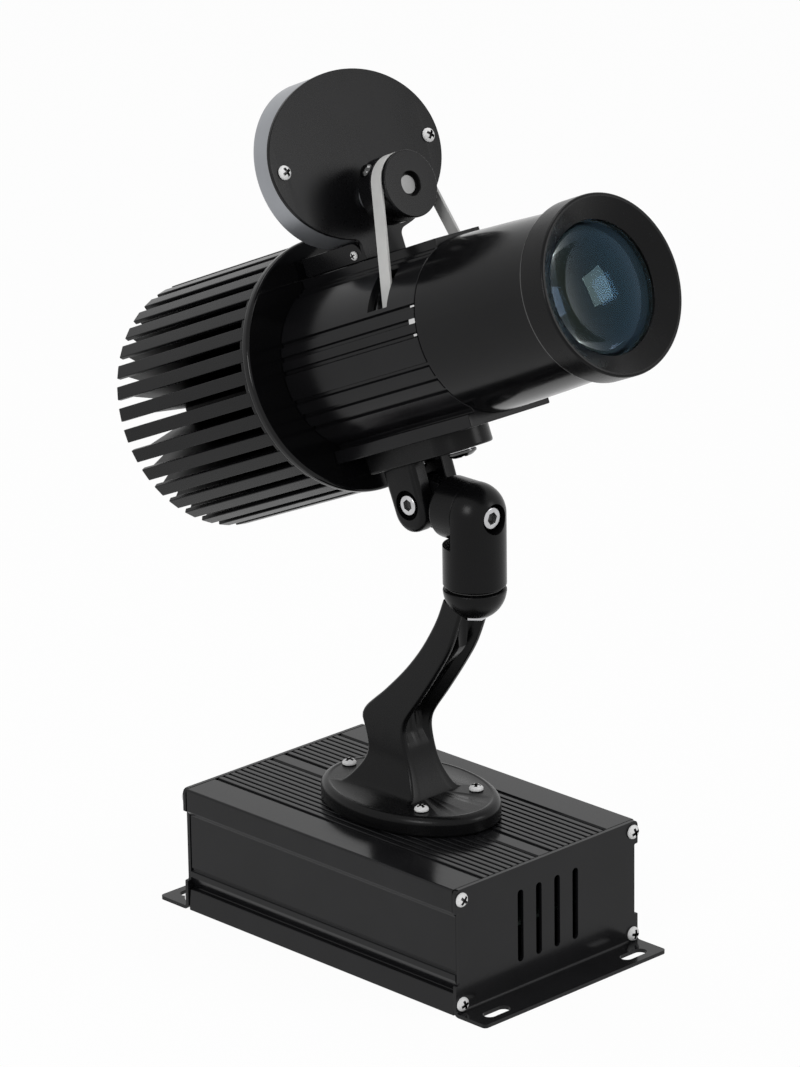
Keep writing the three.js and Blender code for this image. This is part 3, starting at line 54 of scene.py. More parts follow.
def rounded(corners, steps=4):
    """An outline with round corners, from (x, y, radius)."""
    outline = []
    for i, (x, y, radius) in enumerate(corners):
        here = Vector((x, y))
        if radius <= 0:
            outline.append((x, y))
            continue
        back = (Vector(corners[i - 1][:2]) - here).normalized()
        ahead = (Vector(corners[(i + 1) % len(corners)][:2]) - here).normalized()
        half = back.angle(ahead) / 2
        centre = here + (back + ahead).normalized() * (radius / sin(half))
        start = here + back * (radius / tan(half)) - centre
        end = here + ahead * (radius / tan(half)) - centre
        first = atan2(start.y, start.x)
        sweep = (atan2(end.y, end.x) - first + pi) % (2 * pi) - pi
        for k in range(steps + 1):
            turn = first + sweep * k / steps
            outline.append((centre.x + radius * cos(turn), centre.y + radius * sin(turn)))
    return outline


def arc(x, y, radius, start, end, steps):
    turns = [radians(start + (end - start) * k / steps) for k in range(steps + 1)]
    return [(x + radius * cos(turn), y + radius * sin(turn)) for turn in turns]


def circle(radius, sides=48, x=0, y=0):
    return arc(x, y, radius, 0, 360, sides)[:-1]


def wound(outline, sense):
    ends = zip(outline, outline[1:] + outline[:1])
    area = sum(a[0] * b[1] - b[0] * a[1] for a, b in ends)
    return list(outline) if area * sense > 0 else list(outline)[::-1]


def inset(outline, distance):
    moved = []
    for i, point in enumerate(outline):
        here = Vector(point)
        a = (here - Vector(outline[i - 1])).normalized()
        b = (Vector(outline[(i + 1) % len(outline)]) - here).normalized()
        left = Vector((-a.y - b.y, a.x + b.x))
        moved.append(here + left * distance / max(1 + a.dot(b), 0.3))
    return moved


def as_mesh(shape):
    bmesh.ops.recalc_face_normals(shape, faces=shape.faces)
    mesh = bpy.data.meshes.new("work")
    shape.to_mesh(mesh)
    shape.free()
    return mesh


def slab(outline, depth, holes=(), edge=0.25, top=None):
    """An outline with holes, raised along Z, its end edges rounded."""
    shape = bmesh.new()
    top = edge if top is None else top
    loops = [wound(outline, 1)] + [wound(hole, -1) for hole in holes]
    turns = [radians(90) * k / EDGE_STEPS for k in range(EDGE_STEPS + 1)]
    levels = [(edge * (1 - sin(t)), edge * (1 - cos(t))) for t in turns]
    levels += [(top * (1 - sin(t)), depth - top * (1 - cos(t))) for t in reversed(turns)]
    rims = ([], [])
    for loop in loops:
        rings = [[shape.verts.new((p.x, p.y, rise)) for p in inset(loop, inward)]
                 for inward, rise in levels]
        for low, high in zip(rings, rings[1:]):
            for i in range(len(loop)):
                j = (i + 1) % len(loop)
                shape.faces.new((low[i], low[j], high[j], high[i]))
        for rim, ring in zip(rims, (rings[0], rings[-1])):
            rim.extend(shape.edges.get((ring[i - 1], ring[i])) for i in range(len(ring)))
    for rim in rims:
        bmesh.ops.triangle_fill(shape, use_beauty=True, edges=rim)
    return as_mesh(shape)


def workpiece(mesh):
    shown = bpy.data.objects.new("work", mesh)
    scene.collection.objects.link(shown)
    return shown


def worked(shown):
    """The mesh of an object with its modifiers done; the object is removed."""
    graph = bpy.context.evaluated_depsgraph_get()
    mesh = bpy.data.meshes.new_from_object(shown.evaluated_get(graph))
    shown.modifiers.clear()
    bpy.data.objects.remove(shown)
    return mesh


def softened(mesh, width, segments=2, angle=35):
    shown = workpiece(mesh)
    edge = shown.modifiers.new("edge", "BEVEL")
    edge.width, edge.segments = width, segments
    edge.limit_method, edge.angle_limit = "ANGLE", radians(angle)
    edge.use_clamp_overlap = True
    return worked(shown)


def carved(mesh, *tools, how="DIFFERENCE"):
    shown = workpiece(mesh)
    held = []
    for tool in tools:
        held.append(workpiece(tool))
        cut = shown.modifiers.new("cut", "BOOLEAN")
        cut.operation, cut.solver, cut.object = how, "EXACT", held[-1]
    mesh = worked(shown)
    for tool in held:
        bpy.data.objects.remove(tool)
    return mesh


def piece(name, mesh, body, paint=None, nodes=(), place=AS_DRAWN, sharp=32):
    """Shades a mesh, puts it in place in metres, and hands it to its body."""
    mesh.shade_smooth()
    mesh.set_sharp_from_angle(angle=radians(sharp))
    shown = workpiece(mesh)
    shown.modifiers.new("even", "WEIGHTED_NORMAL").keep_sharp = True
    mesh = worked(shown)
    mesh.transform(Matrix.Scale(MM, 4) @ place)
    mesh.name = name
    if paint:
        mesh.materials.clear()
        mesh.materials.append(paint)
    made = bpy.data.objects.new(name, mesh)
    scene.collection.objects.link(made)
    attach(made, body)
    if nodes:
        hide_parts(*nodes)
    return made


def finish(name, colour, roughness, metallic=0.0, specular=0.5, grain=(0.5, 0.5, 0.5), relief=0.004,
           mottle=0.2, spread=0.05, cloud=25.0):
    """A surface: clouds of tone and gloss, and a fine grain of the given size in its relief."""
    paint = bpy.data.materials.new(name)
    paint.use_nodes = True
    nodes, links = paint.node_tree.nodes, paint.node_tree.links
    shader = nodes["Principled BSDF"]
    shader.inputs["Metallic"].default_value = metallic
    shader.inputs["Specular IOR Level"].default_value = specular
    where = nodes.new("ShaderNodeTexCoord")

    def noise(size, detail):
        spaced = nodes.new("ShaderNodeMapping")
        spaced.inputs["Scale"].default_value = [1 / (s * MM) for s in size]
        texture = nodes.new("ShaderNodeTexNoise")
        texture.inputs["Scale"].default_value = 1.0
        texture.inputs["Detail"].default_value = detail
        links.new(where.outputs["Object"], spaced.inputs["Vector"])
        links.new(spaced.outputs["Vector"], texture.inputs["Vector"])
        return texture.outputs["Fac"]

    def ranged(value, low, high):
        scale = nodes.new("ShaderNodeMapRange")
        scale.inputs["From Min"].default_value = 0.3
        scale.inputs["From Max"].default_value = 0.7
        scale.inputs["To Min"].default_value = low
        scale.inputs["To Max"].default_value = high
        links.new(value, scale.inputs["Value"])
        return scale.outputs["Result"]

    clouds, fine = noise((cloud, cloud, cloud), 3.0), noise(grain, 4.0)
    tone = nodes.new("ShaderNodeMix")
    tone.data_type = "RGBA"
    tone.inputs["A"].default_value = [c * (1 - mottle) for c in colour] + [1]
    tone.inputs["B"].default_value = [min(1, c * (1 + mottle)) for c in colour] + [1]
    links.new(ranged(clouds, 0, 1), tone.inputs["Factor"])
    links.new(tone.outputs["Result"], shader.inputs["Base Color"])
    both = nodes.new("ShaderNodeMath")
    both.operation = "ADD"
    links.new(ranged(clouds, roughness - spread / 2, roughness + spread / 2), both.inputs[0])
    links.new(ranged(fine, -spread / 2, spread / 2), both.inputs[1])
    links.new(both.outputs[0], shader.inputs["Roughness"])
    bump = nodes.new("ShaderNodeBump")
    bump.inputs["Strength"].default_value = 0.6
    bump.inputs["Distance"].default_value = relief * MM
    links.new(fine, bump.inputs["Height"])
    links.new(bump.outputs["Normal"], shader.inputs["Normal"])
    return paint


HALF_WIDTH = 48.25
HOUSING_LENGTH = 144
HOUSING_HEIGHT = 50
WALL_X = 46.45
LID_MARGIN = 14.6
LID_CENTRE = 5.4
RIB_PITCH = 3.095
RIB_RISE = 0.65
field_end = HALF_WIDTH - LID_MARGIN
field_floor = HOUSING_HEIGHT - RIB_RISE
GROOVE_X = WALL_X - 0.5
right_side = [
    (HALF_WIDTH, 0, 0.4), (47.65, 8.6, 0.4), (45.25, 8.7, 0.3), (47.05, 13.5, 0.4), (47.05, 15.7, 0.3),
    (WALL_X, 15.9, 0.1), (GROOVE_X, 16.3, 0.1), (GROOVE_X, 16.8, 0.1), (WALL_X, 17.2, 0.1),
    (WALL_X, 38.8, 0.6), (HALF_WIDTH, 41, 0.6), (HALF_WIDTH, HOUSING_HEIGHT, 0.8),
    (field_end, HOUSING_HEIGHT, 0.15), (field_end - 0.35, field_floor, 0.1),
    (LID_CENTRE / 2 + 0.35, field_floor, 0.1), (LID_CENTRE / 2, HOUSING_HEIGHT, 0.15),
]


def mirrored(side):
    return [(-x, y, radius) for x, y, radius in reversed(side)]


right_hollow = [(40.25, 2.4, 0.5), (40.25, 13.5, 0.5), (44.25, 15.7, 0.5), (44.25, 36.6, 0.5),
                (40.25, 41, 0.5), (40.25, 46.8, 0.5)]
hollow = rounded(right_hollow + mirrored(right_hollow))
housing = slab(rounded(right_side + mirrored(right_side)), HOUSING_LENGTH, [hollow], 0.2)
anodised = finish("anodised_black", (0.007, 0.007, 0.0078), 0.17, 0.0, 0.2, (0.6, 30, 0.6), 0.004)
lengthwise = Matrix.Translation((0, HOUSING_LENGTH / 2, 0)) @ FORWARD
piece("driver_housing", housing, "base", anodised, ["base_housing"], lengthwise)


# Lid ribs
# Nine low ribs in each of the lid's two fields, drawn in one with the housing as grip and for cooling.
# Each is a flat-topped bead that runs the whole length of the lid.
def tree_named(name, inputs):
    tree = bpy.data.node_groups.new(name, "GeometryNodeTree")
    tree.interface.new_socket(name="Geometry", in_out="INPUT", socket_type="NodeSocketGeometry")
    for label, kind in inputs:
        tree.interface.new_socket(name=label, in_out="INPUT", socket_type="NodeSocket" + kind)
    tree.interface.new_socket(name="Geometry", in_out="OUTPUT", socket_type="NodeSocketGeometry")
    return tree, tree.nodes.new("NodeGroupInput"), tree.nodes.new("NodeGroupOutput")


def closed_tree(tree, given, end, geometry, material):
    """The tree's tail: real geometry with its material."""
    real = tree.nodes.new("GeometryNodeRealizeInstances")
    paint = tree.nodes.new("GeometryNodeSetMaterial")
    tree.links.new(geometry, real.inputs["Geometry"])
    tree.links.new(real.outputs["Geometry"], paint.inputs["Geometry"])
    tree.links.new(given.outputs[material], paint.inputs["Material"])
    tree.links.new(paint.outputs["Geometry"], end.inputs["Geometry"])
    return tree


def grown(mesh, tree, values):
    """A mesh after a tree of nodes, with the tree's inputs set by name."""
    shown = workpiece(mesh)
    nodes = shown.modifiers.new("grow", "NODES")
    nodes.node_group = tree
    for item in tree.interface.items_tree:
        if item.in_out == "INPUT" and item.name in values:
            nodes[item.identifier] = values[item.name]
    return worked(shown)


def row_tree():
    tree, given, end = tree_named("Row of ribs", [
        ("Rib", "Object"), ("Count", "Int"), ("Pitch", "Float"), ("Material", "Material")])
    line = tree.nodes.new("GeometryNodeMeshLine")
    step = tree.nodes.new("ShaderNodeCombineXYZ")
    rib = tree.nodes.new("GeometryNodeObjectInfo")
    copies = tree.nodes.new("GeometryNodeInstanceOnPoints")
    tree.links.new(given.outputs["Count"], line.inputs["Count"])
    tree.links.new(given.outputs["Pitch"], step.inputs["X"])
    tree.links.new(step.outputs["Vector"], line.inputs["Offset"])
    tree.links.new(given.outputs["Rib"], rib.inputs["Object"])
    tree.links.new(line.outputs["Mesh"], copies.inputs["Points"])
    tree.links.new(rib.outputs["Geometry"], copies.inputs["Instance"])
    return closed_tree(tree, given, end, copies.outputs["Instances"], "Material")


RIBS = 9
rib_row = row_tree()
for side, first in (("right", LID_CENTRE / 2), ("left", -field_end)):
    section = rounded([(-1.2, -0.05, 0), (1.2, -0.05, 0), (1, RIB_RISE, 0.25), (-1, RIB_RISE, 0.25)], 3)
    first_rib = [(first + RIB_PITCH + x, field_floor + z) for x, z in section]
    rib = workpiece(slab(first_rib, HOUSING_LENGTH, (), 0.15))
    ribs = grown(bpy.data.meshes.new("row"), rib_row,
                 {"Rib": rib, "Count": RIBS, "Pitch": RIB_PITCH, "Material": anodised})
    bpy.data.objects.remove(rib)
    piece("lid_ribs_" + side, ribs, "base", None, (), lengthwise)


# End plates
# A plate on each end of the box, stamped from 1.5 mm sheet and bent out below into a mounting flange.
# Four upright vents are punched in its face and two slots in its flange; it is anodised like the box.
PLATE = 1.5
PLATE_HALF = 48.45
WAIST_HALF = 46.7
FLANGE_END = 88.7
FACE_Y = 74.8
BEND_Z = 2.5
BEND_MIDDLE = 1.75
flange_flat = FLANGE_END - FACE_Y
bend_length = BEND_MIDDLE * pi / 2
face_start = flange_flat + bend_length


def slot_outline(length, width, x, y, upright=False):
    reach, radius = (length - width) / 2, width / 2
    ends = arc(reach, 0, radius, -90, 90, 10) + arc(-reach, 0, radius, 90, 270, 10)
    return [(x - b, y + a) if upright else (x + a, y + b) for a, b in ends]


def flat_sheet(outline, holes, bends):
    shape = bmesh.new()
    edges = []
    for loop in [wound(outline, 1)] + [wound(hole, -1) for hole in holes]:
        corners = [shape.verts.new((x, v, 0)) for x, v in loop]
        edges += [shape.edges.new((corners[i - 1], corners[i])) for i in range(len(corners))]
    bmesh.ops.triangle_fill(shape, use_beauty=True, edges=edges)
    for bend in bends:
        everything = shape.verts[:] + shape.edges[:] + shape.faces[:]
        bmesh.ops.bisect_plane(shape, geom=everything, dist=1e-5, plane_co=(0, bend, 0), plane_no=(0, 1, 0))
    mesh = bpy.data.meshes.new("sheet")
    shape.to_mesh(mesh)
    shape.free()
    return mesh


def face_v(z):
    return face_start + z - BEND_Z


top_v, waist_top, waist_bottom = face_v(HOUSING_HEIGHT), face_v(40.6), face_v(12.2)
right_edge = [(PLATE_HALF, 0, 1.6), (PLATE_HALF, waist_bottom, 0.5), (WAIST_HALF, waist_bottom, 0.5),
              (WAIST_HALF, waist_top, 0.5), (PLATE_HALF, waist_top, 0.5), (PLATE_HALF, top_v, 2)]
plate_outline = rounded(right_edge + mirrored(right_edge))
VENTS, VENT_PITCH, VENT_Z = 4, 9.7, 26.2
FLANGE_SLOT_X, FLANGE_SLOT_Y = 36.5, 82.8
BEND_STEPS, BEND_MARGIN = 8, 0.6
plate_holes = [slot_outline(28.7, 3, VENT_PITCH * (i - (VENTS - 1) / 2), face_v(VENT_Z), True)
               for i in range(VENTS)]
plate_holes += [slot_outline(12.5, 5.2, x, FLANGE_END - FLANGE_SLOT_Y)
                for x in (-FLANGE_SLOT_X, FLANGE_SLOT_X)]
bends = [flange_flat - BEND_MARGIN]
bends += [flange_flat + bend_length * k / BEND_STEPS for k in range(BEND_STEPS + 1)]
sheet = flat_sheet(plate_outline, plate_holes, bends + [face_start + BEND_MARGIN])
for vertex in sheet.vertices:
    x, v = vertex.co.x, vertex.co.y
    turn = min(max((v - flange_flat) / BEND_MIDDLE, 0), radians(90))
    y = -FACE_Y + min(v - flange_flat, 0) + BEND_MIDDLE * sin(turn)
    vertex.co = (x, y, BEND_Z - BEND_MIDDLE * cos(turn) + max(v - face_start, 0))
plate_work = workpiece(sheet)
thick = plate_work.modifiers.new("thick", "SOLIDIFY")
thick.thickness, thick.offset, thick.use_even_offset = PLATE, 0, True
plate = softened(worked(plate_work), 0.22, 2, 50)
turned_round = Matrix.Rotation(radians(180), 4, "Z")
piece("front_end_plate", plate.copy(), "base", anodised, ["end_plate_front"])
piece("rear_end_plate", plate, "base", anodised, ["end_plate_rear"], turned_round)


# Box screws
# Eight small plated pan-head screws with cross recesses hold the end plates to the housing.
# The same form of screw, larger or smaller, holds the arm, the fork, the motor, the cheeks and the pulley.
def placed(mesh, matrix):
    mesh.transform(matrix)
    return mesh


def moved(mesh, x, y, z):
    return placed(mesh, Matrix.Translation((x, y, z)))


def turned(profile, sides=96):
    """A piece turned about Z from (radius, height) points; closed where its ends are off the axis."""
    shape = bmesh.new()
    rings = []
    for radius, rise in profile:
        around = [2 * pi * k / sides for k in range(sides)] if radius > 1e-6 else [0]
        rings.append([shape.verts.new((radius * cos(t), radius * sin(t), rise)) for t in around])
    pairs = list(zip(rings, rings[1:]))
    if len(rings[0]) > 1:
        pairs.append((rings[-1], rings[0]))
    for low, high in pairs:
        for k in range(sides):
            walk = ((low, k), (low, k + 1), (high, k + 1), (high, k))
            corners = [ring[n % sides % len(ring)] for ring, n in walk]
            shape.faces.new(list(dict.fromkeys(corners)))
    return as_mesh(shape)


def marked(mesh, reach, low, high):
    """Marks the faces of a screw's recess, which take painted shade: those near its axis and below its top.
    """
    held = mesh.attributes.new("recess_shade", "BOOLEAN", "FACE")
    for face in mesh.polygons:
        x, y, z = face.center
        held.data[face.index].value = x * x + y * y < reach * reach and low < z < high
    return mesh


def head_screw():
    """A pan-head screw of head radius 1, its seat at height 0."""
    crown, half, reach, depth = 0.74, 0.2, 0.66, 0.5
    profile = rounded([(0, -0.7, 0), (0.5, -0.7, 0), (0.5, 0, 0), (1, 0, 0.08), (1, 0.3, 0.3),
                       (0.62, 0.66, 0.5), (0, crown, 0)], 5)
    bar = [(-reach, -half), (reach, -half), (reach, half), (-reach, half)]
    blades = []
    for t in (0, radians(90)):
        crossed = [(x * cos(t) - y * sin(t), x * sin(t) + y * cos(t)) for x, y in bar]
        blades.append(moved(slab(crossed, 1, (), 0.02), 0, 0, crown - depth))
    return marked(softened(carved(turned(profile, 40), *blades), 0.025, 2, 30), reach, 0.2, 0.6)


def socket_screw():
    """A cap screw of head radius 1 with a hexagon socket, its seat at height 0."""
    profile = rounded([(0, -0.7, 0), (0.55, -0.7, 0), (0.55, 0, 0), (1, 0, 0.05), (1, 0.9, 0.12),
                       (0, 0.9, 0)], 4)
    socket = moved(slab(circle(0.58, 6), 1, (), 0.02), 0, 0, 0.35)
    return marked(softened(carved(turned(profile, 48), socket), 0.03, 2, 30), 0.6, 0.3, 0.86)


def screw_tree():
    tree, given, end = tree_named("Screw set", [("Screw", "Object"), ("Material", "Material")])
    screw = tree.nodes.new("GeometryNodeObjectInfo")
    copies = tree.nodes.new("GeometryNodeInstanceOnPoints")
    tree.links.new(given.outputs["Screw"], screw.inputs["Object"])
    tree.links.new(given.outputs["Geometry"], copies.inputs["Points"])
    tree.links.new(screw.outputs["Geometry"], copies.inputs["Instance"])
    for name, kind, socket in (("lean", "FLOAT_VECTOR", "Rotation"), ("size", "FLOAT", "Scale")):
        held = tree.nodes.new("GeometryNodeInputNamedAttribute")
        held.data_type = kind
        held.inputs["Name"].default_value = name
        tree.links.new(held.outputs["Attribute"], copies.inputs[socket])
    return closed_tree(tree, given, end, copies.outputs["Instances"], "Material")


screw_set = screw_tree()
FINE = (0.25, 0.25, 0.25)
steel = finish("bright_steel", (0.5, 0.5, 0.51), 0.2, 1.0, 0.5, FINE, 0.003, 0.12, 0.08, 3.0)
# The pan heads' chrome is darkened as painted shade. It stands in for the dark surroundings that the heads
# reflect, and the cap screws keep the bright steel.
chrome_with_painted_shade = finish("chrome_with_painted_shade", (0.08, 0.08, 0.08), 0.14, 1.0, 0.5, FINE, 0.003, 0.12, 0.06, 3.0)
# The recess and socket paints are painted shade: they darken the cross recess and the hex socket where shade
# falls in them.
recess_painted_shade = finish("screw_recess_painted_shade", (0.01, 0.01, 0.01), 0.45, 0.0, 0.2, FINE, 0.003)
socket_painted_shade = finish("screw_socket_painted_shade", (0.16, 0.16, 0.16), 0.4, 0.8, 0.4, FINE, 0.003)


def screws(name, body, seats, nodes, master, place=AS_DRAWN, paint=chrome_with_painted_shade, recess_shade=recess_painted_shade):
    """A set of screws: each seat is (point, way out, head radius, spin in degrees)."""
    points = bpy.data.meshes.new("seats")
    points.from_pydata([seat[0] for seat in seats], [], [])
    points.attributes.new("lean", "FLOAT_VECTOR", "POINT")
    points.attributes.new("size", "FLOAT", "POINT")
    for i, (_, way, size, spin) in enumerate(seats):
        turn = Vector(way).to_track_quat("Z", "Y") @ Euler((0, 0, radians(spin))).to_quaternion()
        points.attributes["lean"].data[i].vector = turn.to_euler()
        points.attributes["size"].data[i].value = size
    screw = workpiece(master.copy())
    made = grown(points, screw_set, {"Screw": screw, "Material": paint})
    bpy.data.objects.remove(screw)
    # The marked recess faces take the second paint, which is painted shade in the recess.
    made.materials.append(recess_shade)
    inside = [value.value for value in made.attributes["recess_shade"].data]
    made.polygons.foreach_set("material_index", [1 if held else 0 for held in inside])
    return piece(name, made, body, None, nodes, place)


pan_head, cap_head = head_screw(), socket_screw()
SCREW_X, SCREW_LOW, SCREW_HIGH, SCREW_SEAT_Y = 45.5, 4.6, 46, 73.85
PAN_HEAD_RADIUS = 2.75
screw_places = [(x, z) for x in (-SCREW_X, SCREW_X) for z in (SCREW_LOW, SCREW_HIGH)]
for end, side in (("front", -1), ("rear", 1)):
    seats = [((x, side * SCREW_SEAT_Y, z), (0, side, 0), PAN_HEAD_RADIUS, 17 + 31 * i)
             for i, (x, z) in enumerate(screw_places)]
    held = ["plate_screw_%s_%d" % (end, i + 1) for i in range(len(seats))]
    screws("box_screws_" + end, "base", seats, held, pan_head)


# Driver board
# The constant-current driver inside the box, a green board slid into the housing's side grooves.
# Only slivers of it show through the vents.
board_green = finish("circuit_board", (0.01, 0.018, 0.014), 0.45, 0.0, 0.5, (1, 1, 1), 0.02, 0.4, 0.1, 6.0)


def repaint(paint, slot, *names):
    for name in names:
        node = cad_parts[name]
        for holder in node.material_slots:
            holder.material = paint


repaint(board_green, "circuit_board", "driver_board")


# Arm
# One moulding in glossy black plastic: an oval foot, a curved column whose front opens into a channel
# with a rib above its kink, and a bowl at the top for the swivel. Three screws hold its foot to the lid.
FOOT_TOP = 57.7
FOOT_Y = 3
FOOT_MIDDLE = -1.5
FOOT_OVAL = (0.84, 1.19)
REAR_EDGE = [(23.2, 57), (21.6, 58.6), (17.8, 63.2), (15, 67.4), (13.6, 71.6), (13.9, 75.8), (15.4, 80.5),
             (16.6, 84.4), (14.4, 88.4), (9.3, 93), (3.7, 97.8), (-7, 108.3), (-16, 119.2), (-23.6, 131.4),
             (-27.7, 140.9)]
FRONT_EDGE = [(-15.6, 57), (-14.4, 58.6), (-11, 65), (-7.6, 73.1), (-5.9, 80), (-6.1, 84.5), (-8.3, 89),
              (-15.7, 98.8), (-24.7, 111.5), (-31, 121.6), (-35.8, 133.1), (-37.5, 138)]


def resampled(points, count):
    """A smooth line through points, cut into even steps."""
    line = [Vector(points[0])]
    ends = [points[0]] + list(points) + [points[-1]]
    for a, b, c, d in zip(ends, ends[1:], ends[2:], ends[3:]):
        a, b, c, d = Vector(a), Vector(b), Vector(c), Vector(d)
        for k in range(1, 9):
            t = k / 8
            line.append(0.5 * (2 * b + (c - a) * t + (2 * a - 5 * b + 4 * c - d) * t * t
                               + (3 * b - a - 3 * c + d) * t * t * t))
    lengths = [0.0]
    for a, b in zip(line, line[1:]):
        lengths.append(lengths[-1] + (b - a).length)
    even, at = [], 0
    for k in range(count):
        goal = lengths[-1] * k / (count - 1)
        while at < len(line) - 2 and lengths[at + 1] < goal:
            at += 1
        share = (goal - lengths[at]) / max(lengths[at + 1] - lengths[at], 1e-9)
        even.append(line[at].lerp(line[at + 1], share))
    return even


def rod(radius, low, high, sides=64):
    return turned([(0, low), (radius, low), (radius, high), (0, high)], sides)


def loft(rings):
    shape = bmesh.new()
    made = [[shape.verts.new(p) for p in ring] for ring in rings]
    for low, high in zip(made, made[1:]):
        for i in range(len(low)):
            j = (i + 1) % len(low)
            shape.faces.new((low[i], low[j], high[j], high[i]))
    shape.faces.new(made[0])
    shape.faces.new(made[-1])
    return as_mesh(shape)


def stepped(t, table):
    """A value eased between the (t, value) rows of a table."""
    for (t0, a), (t1, b) in zip(table, table[1:]):
        if t <= t1:
            share = max(0, (t - t0) / (t1 - t0))
            share = share * share * (3 - 2 * share)
            return a + (b - a) * share
    return table[-1][1]


CHANNEL = [(0, 0.02), (0.22, 0.02), (0.3, 2.4), (0.38, 5), (0.7, 4.4), (1, 3.6)]
RIB_SHARE = [(0, 0.1), (0.62, 0.1), (0.8, 0.85), (1, 0.95)]
RIB_HALF = [(0, 0.75), (0.6, 0.75), (0.82, 1.9), (1, 1.9)]
STATIONS = 56
COLUMN_HALF = 8.25
FLARE_REACH, FLARE_RISE = 4.05, 15
SKIRT_REACH, SKIRT_RISE = 1.4, 1.6
rings = []
for i, (rear, front) in enumerate(zip(resampled(REAR_EDGE, STATIONS), resampled(FRONT_EDGE, STATIONS))):
    t = i / (STATIONS - 1)
    height = (rear.y + front.y) / 2 - FOOT_TOP
    flare = FLARE_REACH * max(0, 1 - height / FLARE_RISE) ** 2.2
    flare += SKIRT_REACH * max(0, 1 - height / SKIRT_RISE) ** 2
    half = COLUMN_HALF + flare
    along = front - rear
    length, way = along.length, along.normalized()
    channel, rib, rib_half = stepped(t, CHANNEL), stepped(t, RIB_SHARE), stepped(t, RIB_HALF)
    floor, crest = length - channel, length - channel * (1 - rib)
    lip = half - 2.3 - flare * 0.35
    right = [(0, half, 1.6), (length, half, 1.2), (length, lip, 0.6), (floor, lip - 1.2 - channel * 0.15, 1),
             (floor, rib_half + 1.1, 0.3), (crest, rib_half, 0.3)]
    section = rounded(right + [(a, -x, radius) for a, x, radius in reversed(right)])
    rings.append([(x, rear.x + way.x * a, rear.y + way.y * a) for a, x in section])
column = loft(rings)
FOOT_RADIUS, FOOT_BOTTOM = 33.3, 50.35
foot_profile = rounded([(0, FOOT_BOTTOM, 0), (FOOT_RADIUS, FOOT_BOTTOM, 0.8),
                        (FOOT_RADIUS, FOOT_TOP - 0.3, 3),
                        (30.6, FOOT_TOP + 0.1, 0.8), (29.8, FOOT_TOP - 0.15, 0.3), (0, FOOT_TOP, 0)], 6)
foot = turned(foot_profile, 128)
foot.transform(Matrix.Translation((0, FOOT_MIDDLE, 0)) @ Matrix.Diagonal((*FOOT_OVAL, 1, 1)))
PAN_Y = -37
SWIVEL = 11.9
BOWL_TOP = 146
bowl = turned([(0, BOWL_TOP - SWIVEL)] + arc(0, BOWL_TOP, SWIVEL, -90, -6, 24)[1:]
              + rounded([(SWIVEL, BOWL_TOP - 1, 0), (SWIVEL, BOWL_TOP, 0.5), (0, BOWL_TOP, 0)], 5))
bowl = moved(bowl, 0, PAN_Y, 0)
BOLT_WAY, BOLT_WAY_START, BOLT_SEAT = 6.9, 100, 137.4
bolt_way = moved(rod(BOLT_WAY, BOLT_WAY_START, BOLT_SEAT), 0, PAN_Y, 0)
black_plastic = finish("black_plastic", (0.0032, 0.0032, 0.0035), 0.27, 0.0, 0.14, (4, 4, 4),
                       0.006, 0.15, 0.04)
arm = softened(carved(carved(column, foot, bowl, how="UNION"), bolt_way), 0.3, 2, 50)
piece("arm_moulding", arm, "base", black_plastic, ["arm"], sharp=38)
FOOT_SCREWS = 29
arm_seats = [((FOOT_SCREWS * cos(radians(a)), FOOT_Y + FOOT_SCREWS * sin(radians(a)), FOOT_TOP + 0.1),
              (0, 0, 1), PAN_HEAD_RADIUS, spin) for a, spin in ((90, 10), (-60, 40), (-120, 75))]
screws("arm_screws", "base", arm_seats, ["arm_screw_1", "arm_screw_2", "arm_screw_3"], pan_head)


# Pan joint
# A hexagon bolt comes up through the bowl into the elbow and clamps a thin washer between them.
# Its plated head sits in a round way under the bowl, where the arm's channel ends.
BOLT_HEAD = 2.9
chamfer = turned(rounded([(0, -1, 0), (5.15, -1, 0), (5.15, 2.4, 0), (4.5, BOLT_HEAD, 0),
                          (0, BOLT_HEAD, 0)], 3), 64)
bolt_head = carved(slab(circle(5.2, 6), 2.8, (), 0.3), chamfer, how="INTERSECT")
bolt_head = carved(bolt_head, rod(2.9, 2, 8, 32), how="UNION")
bolt_head.transform(Matrix.Translation((0, PAN_Y, BOLT_SEAT - BOLT_HEAD))
                    @ Matrix.Rotation(radians(12), 4, "Z"))
piece("pan_bolt_head", bolt_head, "base", steel, ["pan_bolt"])
black_washer = finish("washer_black", (0.006, 0.006, 0.006), 0.4)
WASHER_LOW, WASHER_HIGH = BOWL_TOP + 0.3, BOWL_TOP + 0.9
washer = turned(rounded([(4, WASHER_LOW, 0.1), (10.6, WASHER_LOW, 0.2), (10.6, WASHER_HIGH, 0.2),
                         (4, WASHER_HIGH, 0.1)], 3))
piece("swivel_washer", moved(washer, 0, PAN_Y, 0), "base", black_washer, ["pan_washer"])


# Elbow
# A glossy black moulding: a round post with a domed top, halved behind so that the knuckle lies on it.
# It turns on the bowl, and a sunk cap screw through its front clamps the knuckle.
def box_outline(left, right, low, high):
    return [(left, low), (right, low), (right, high), (left, high)]


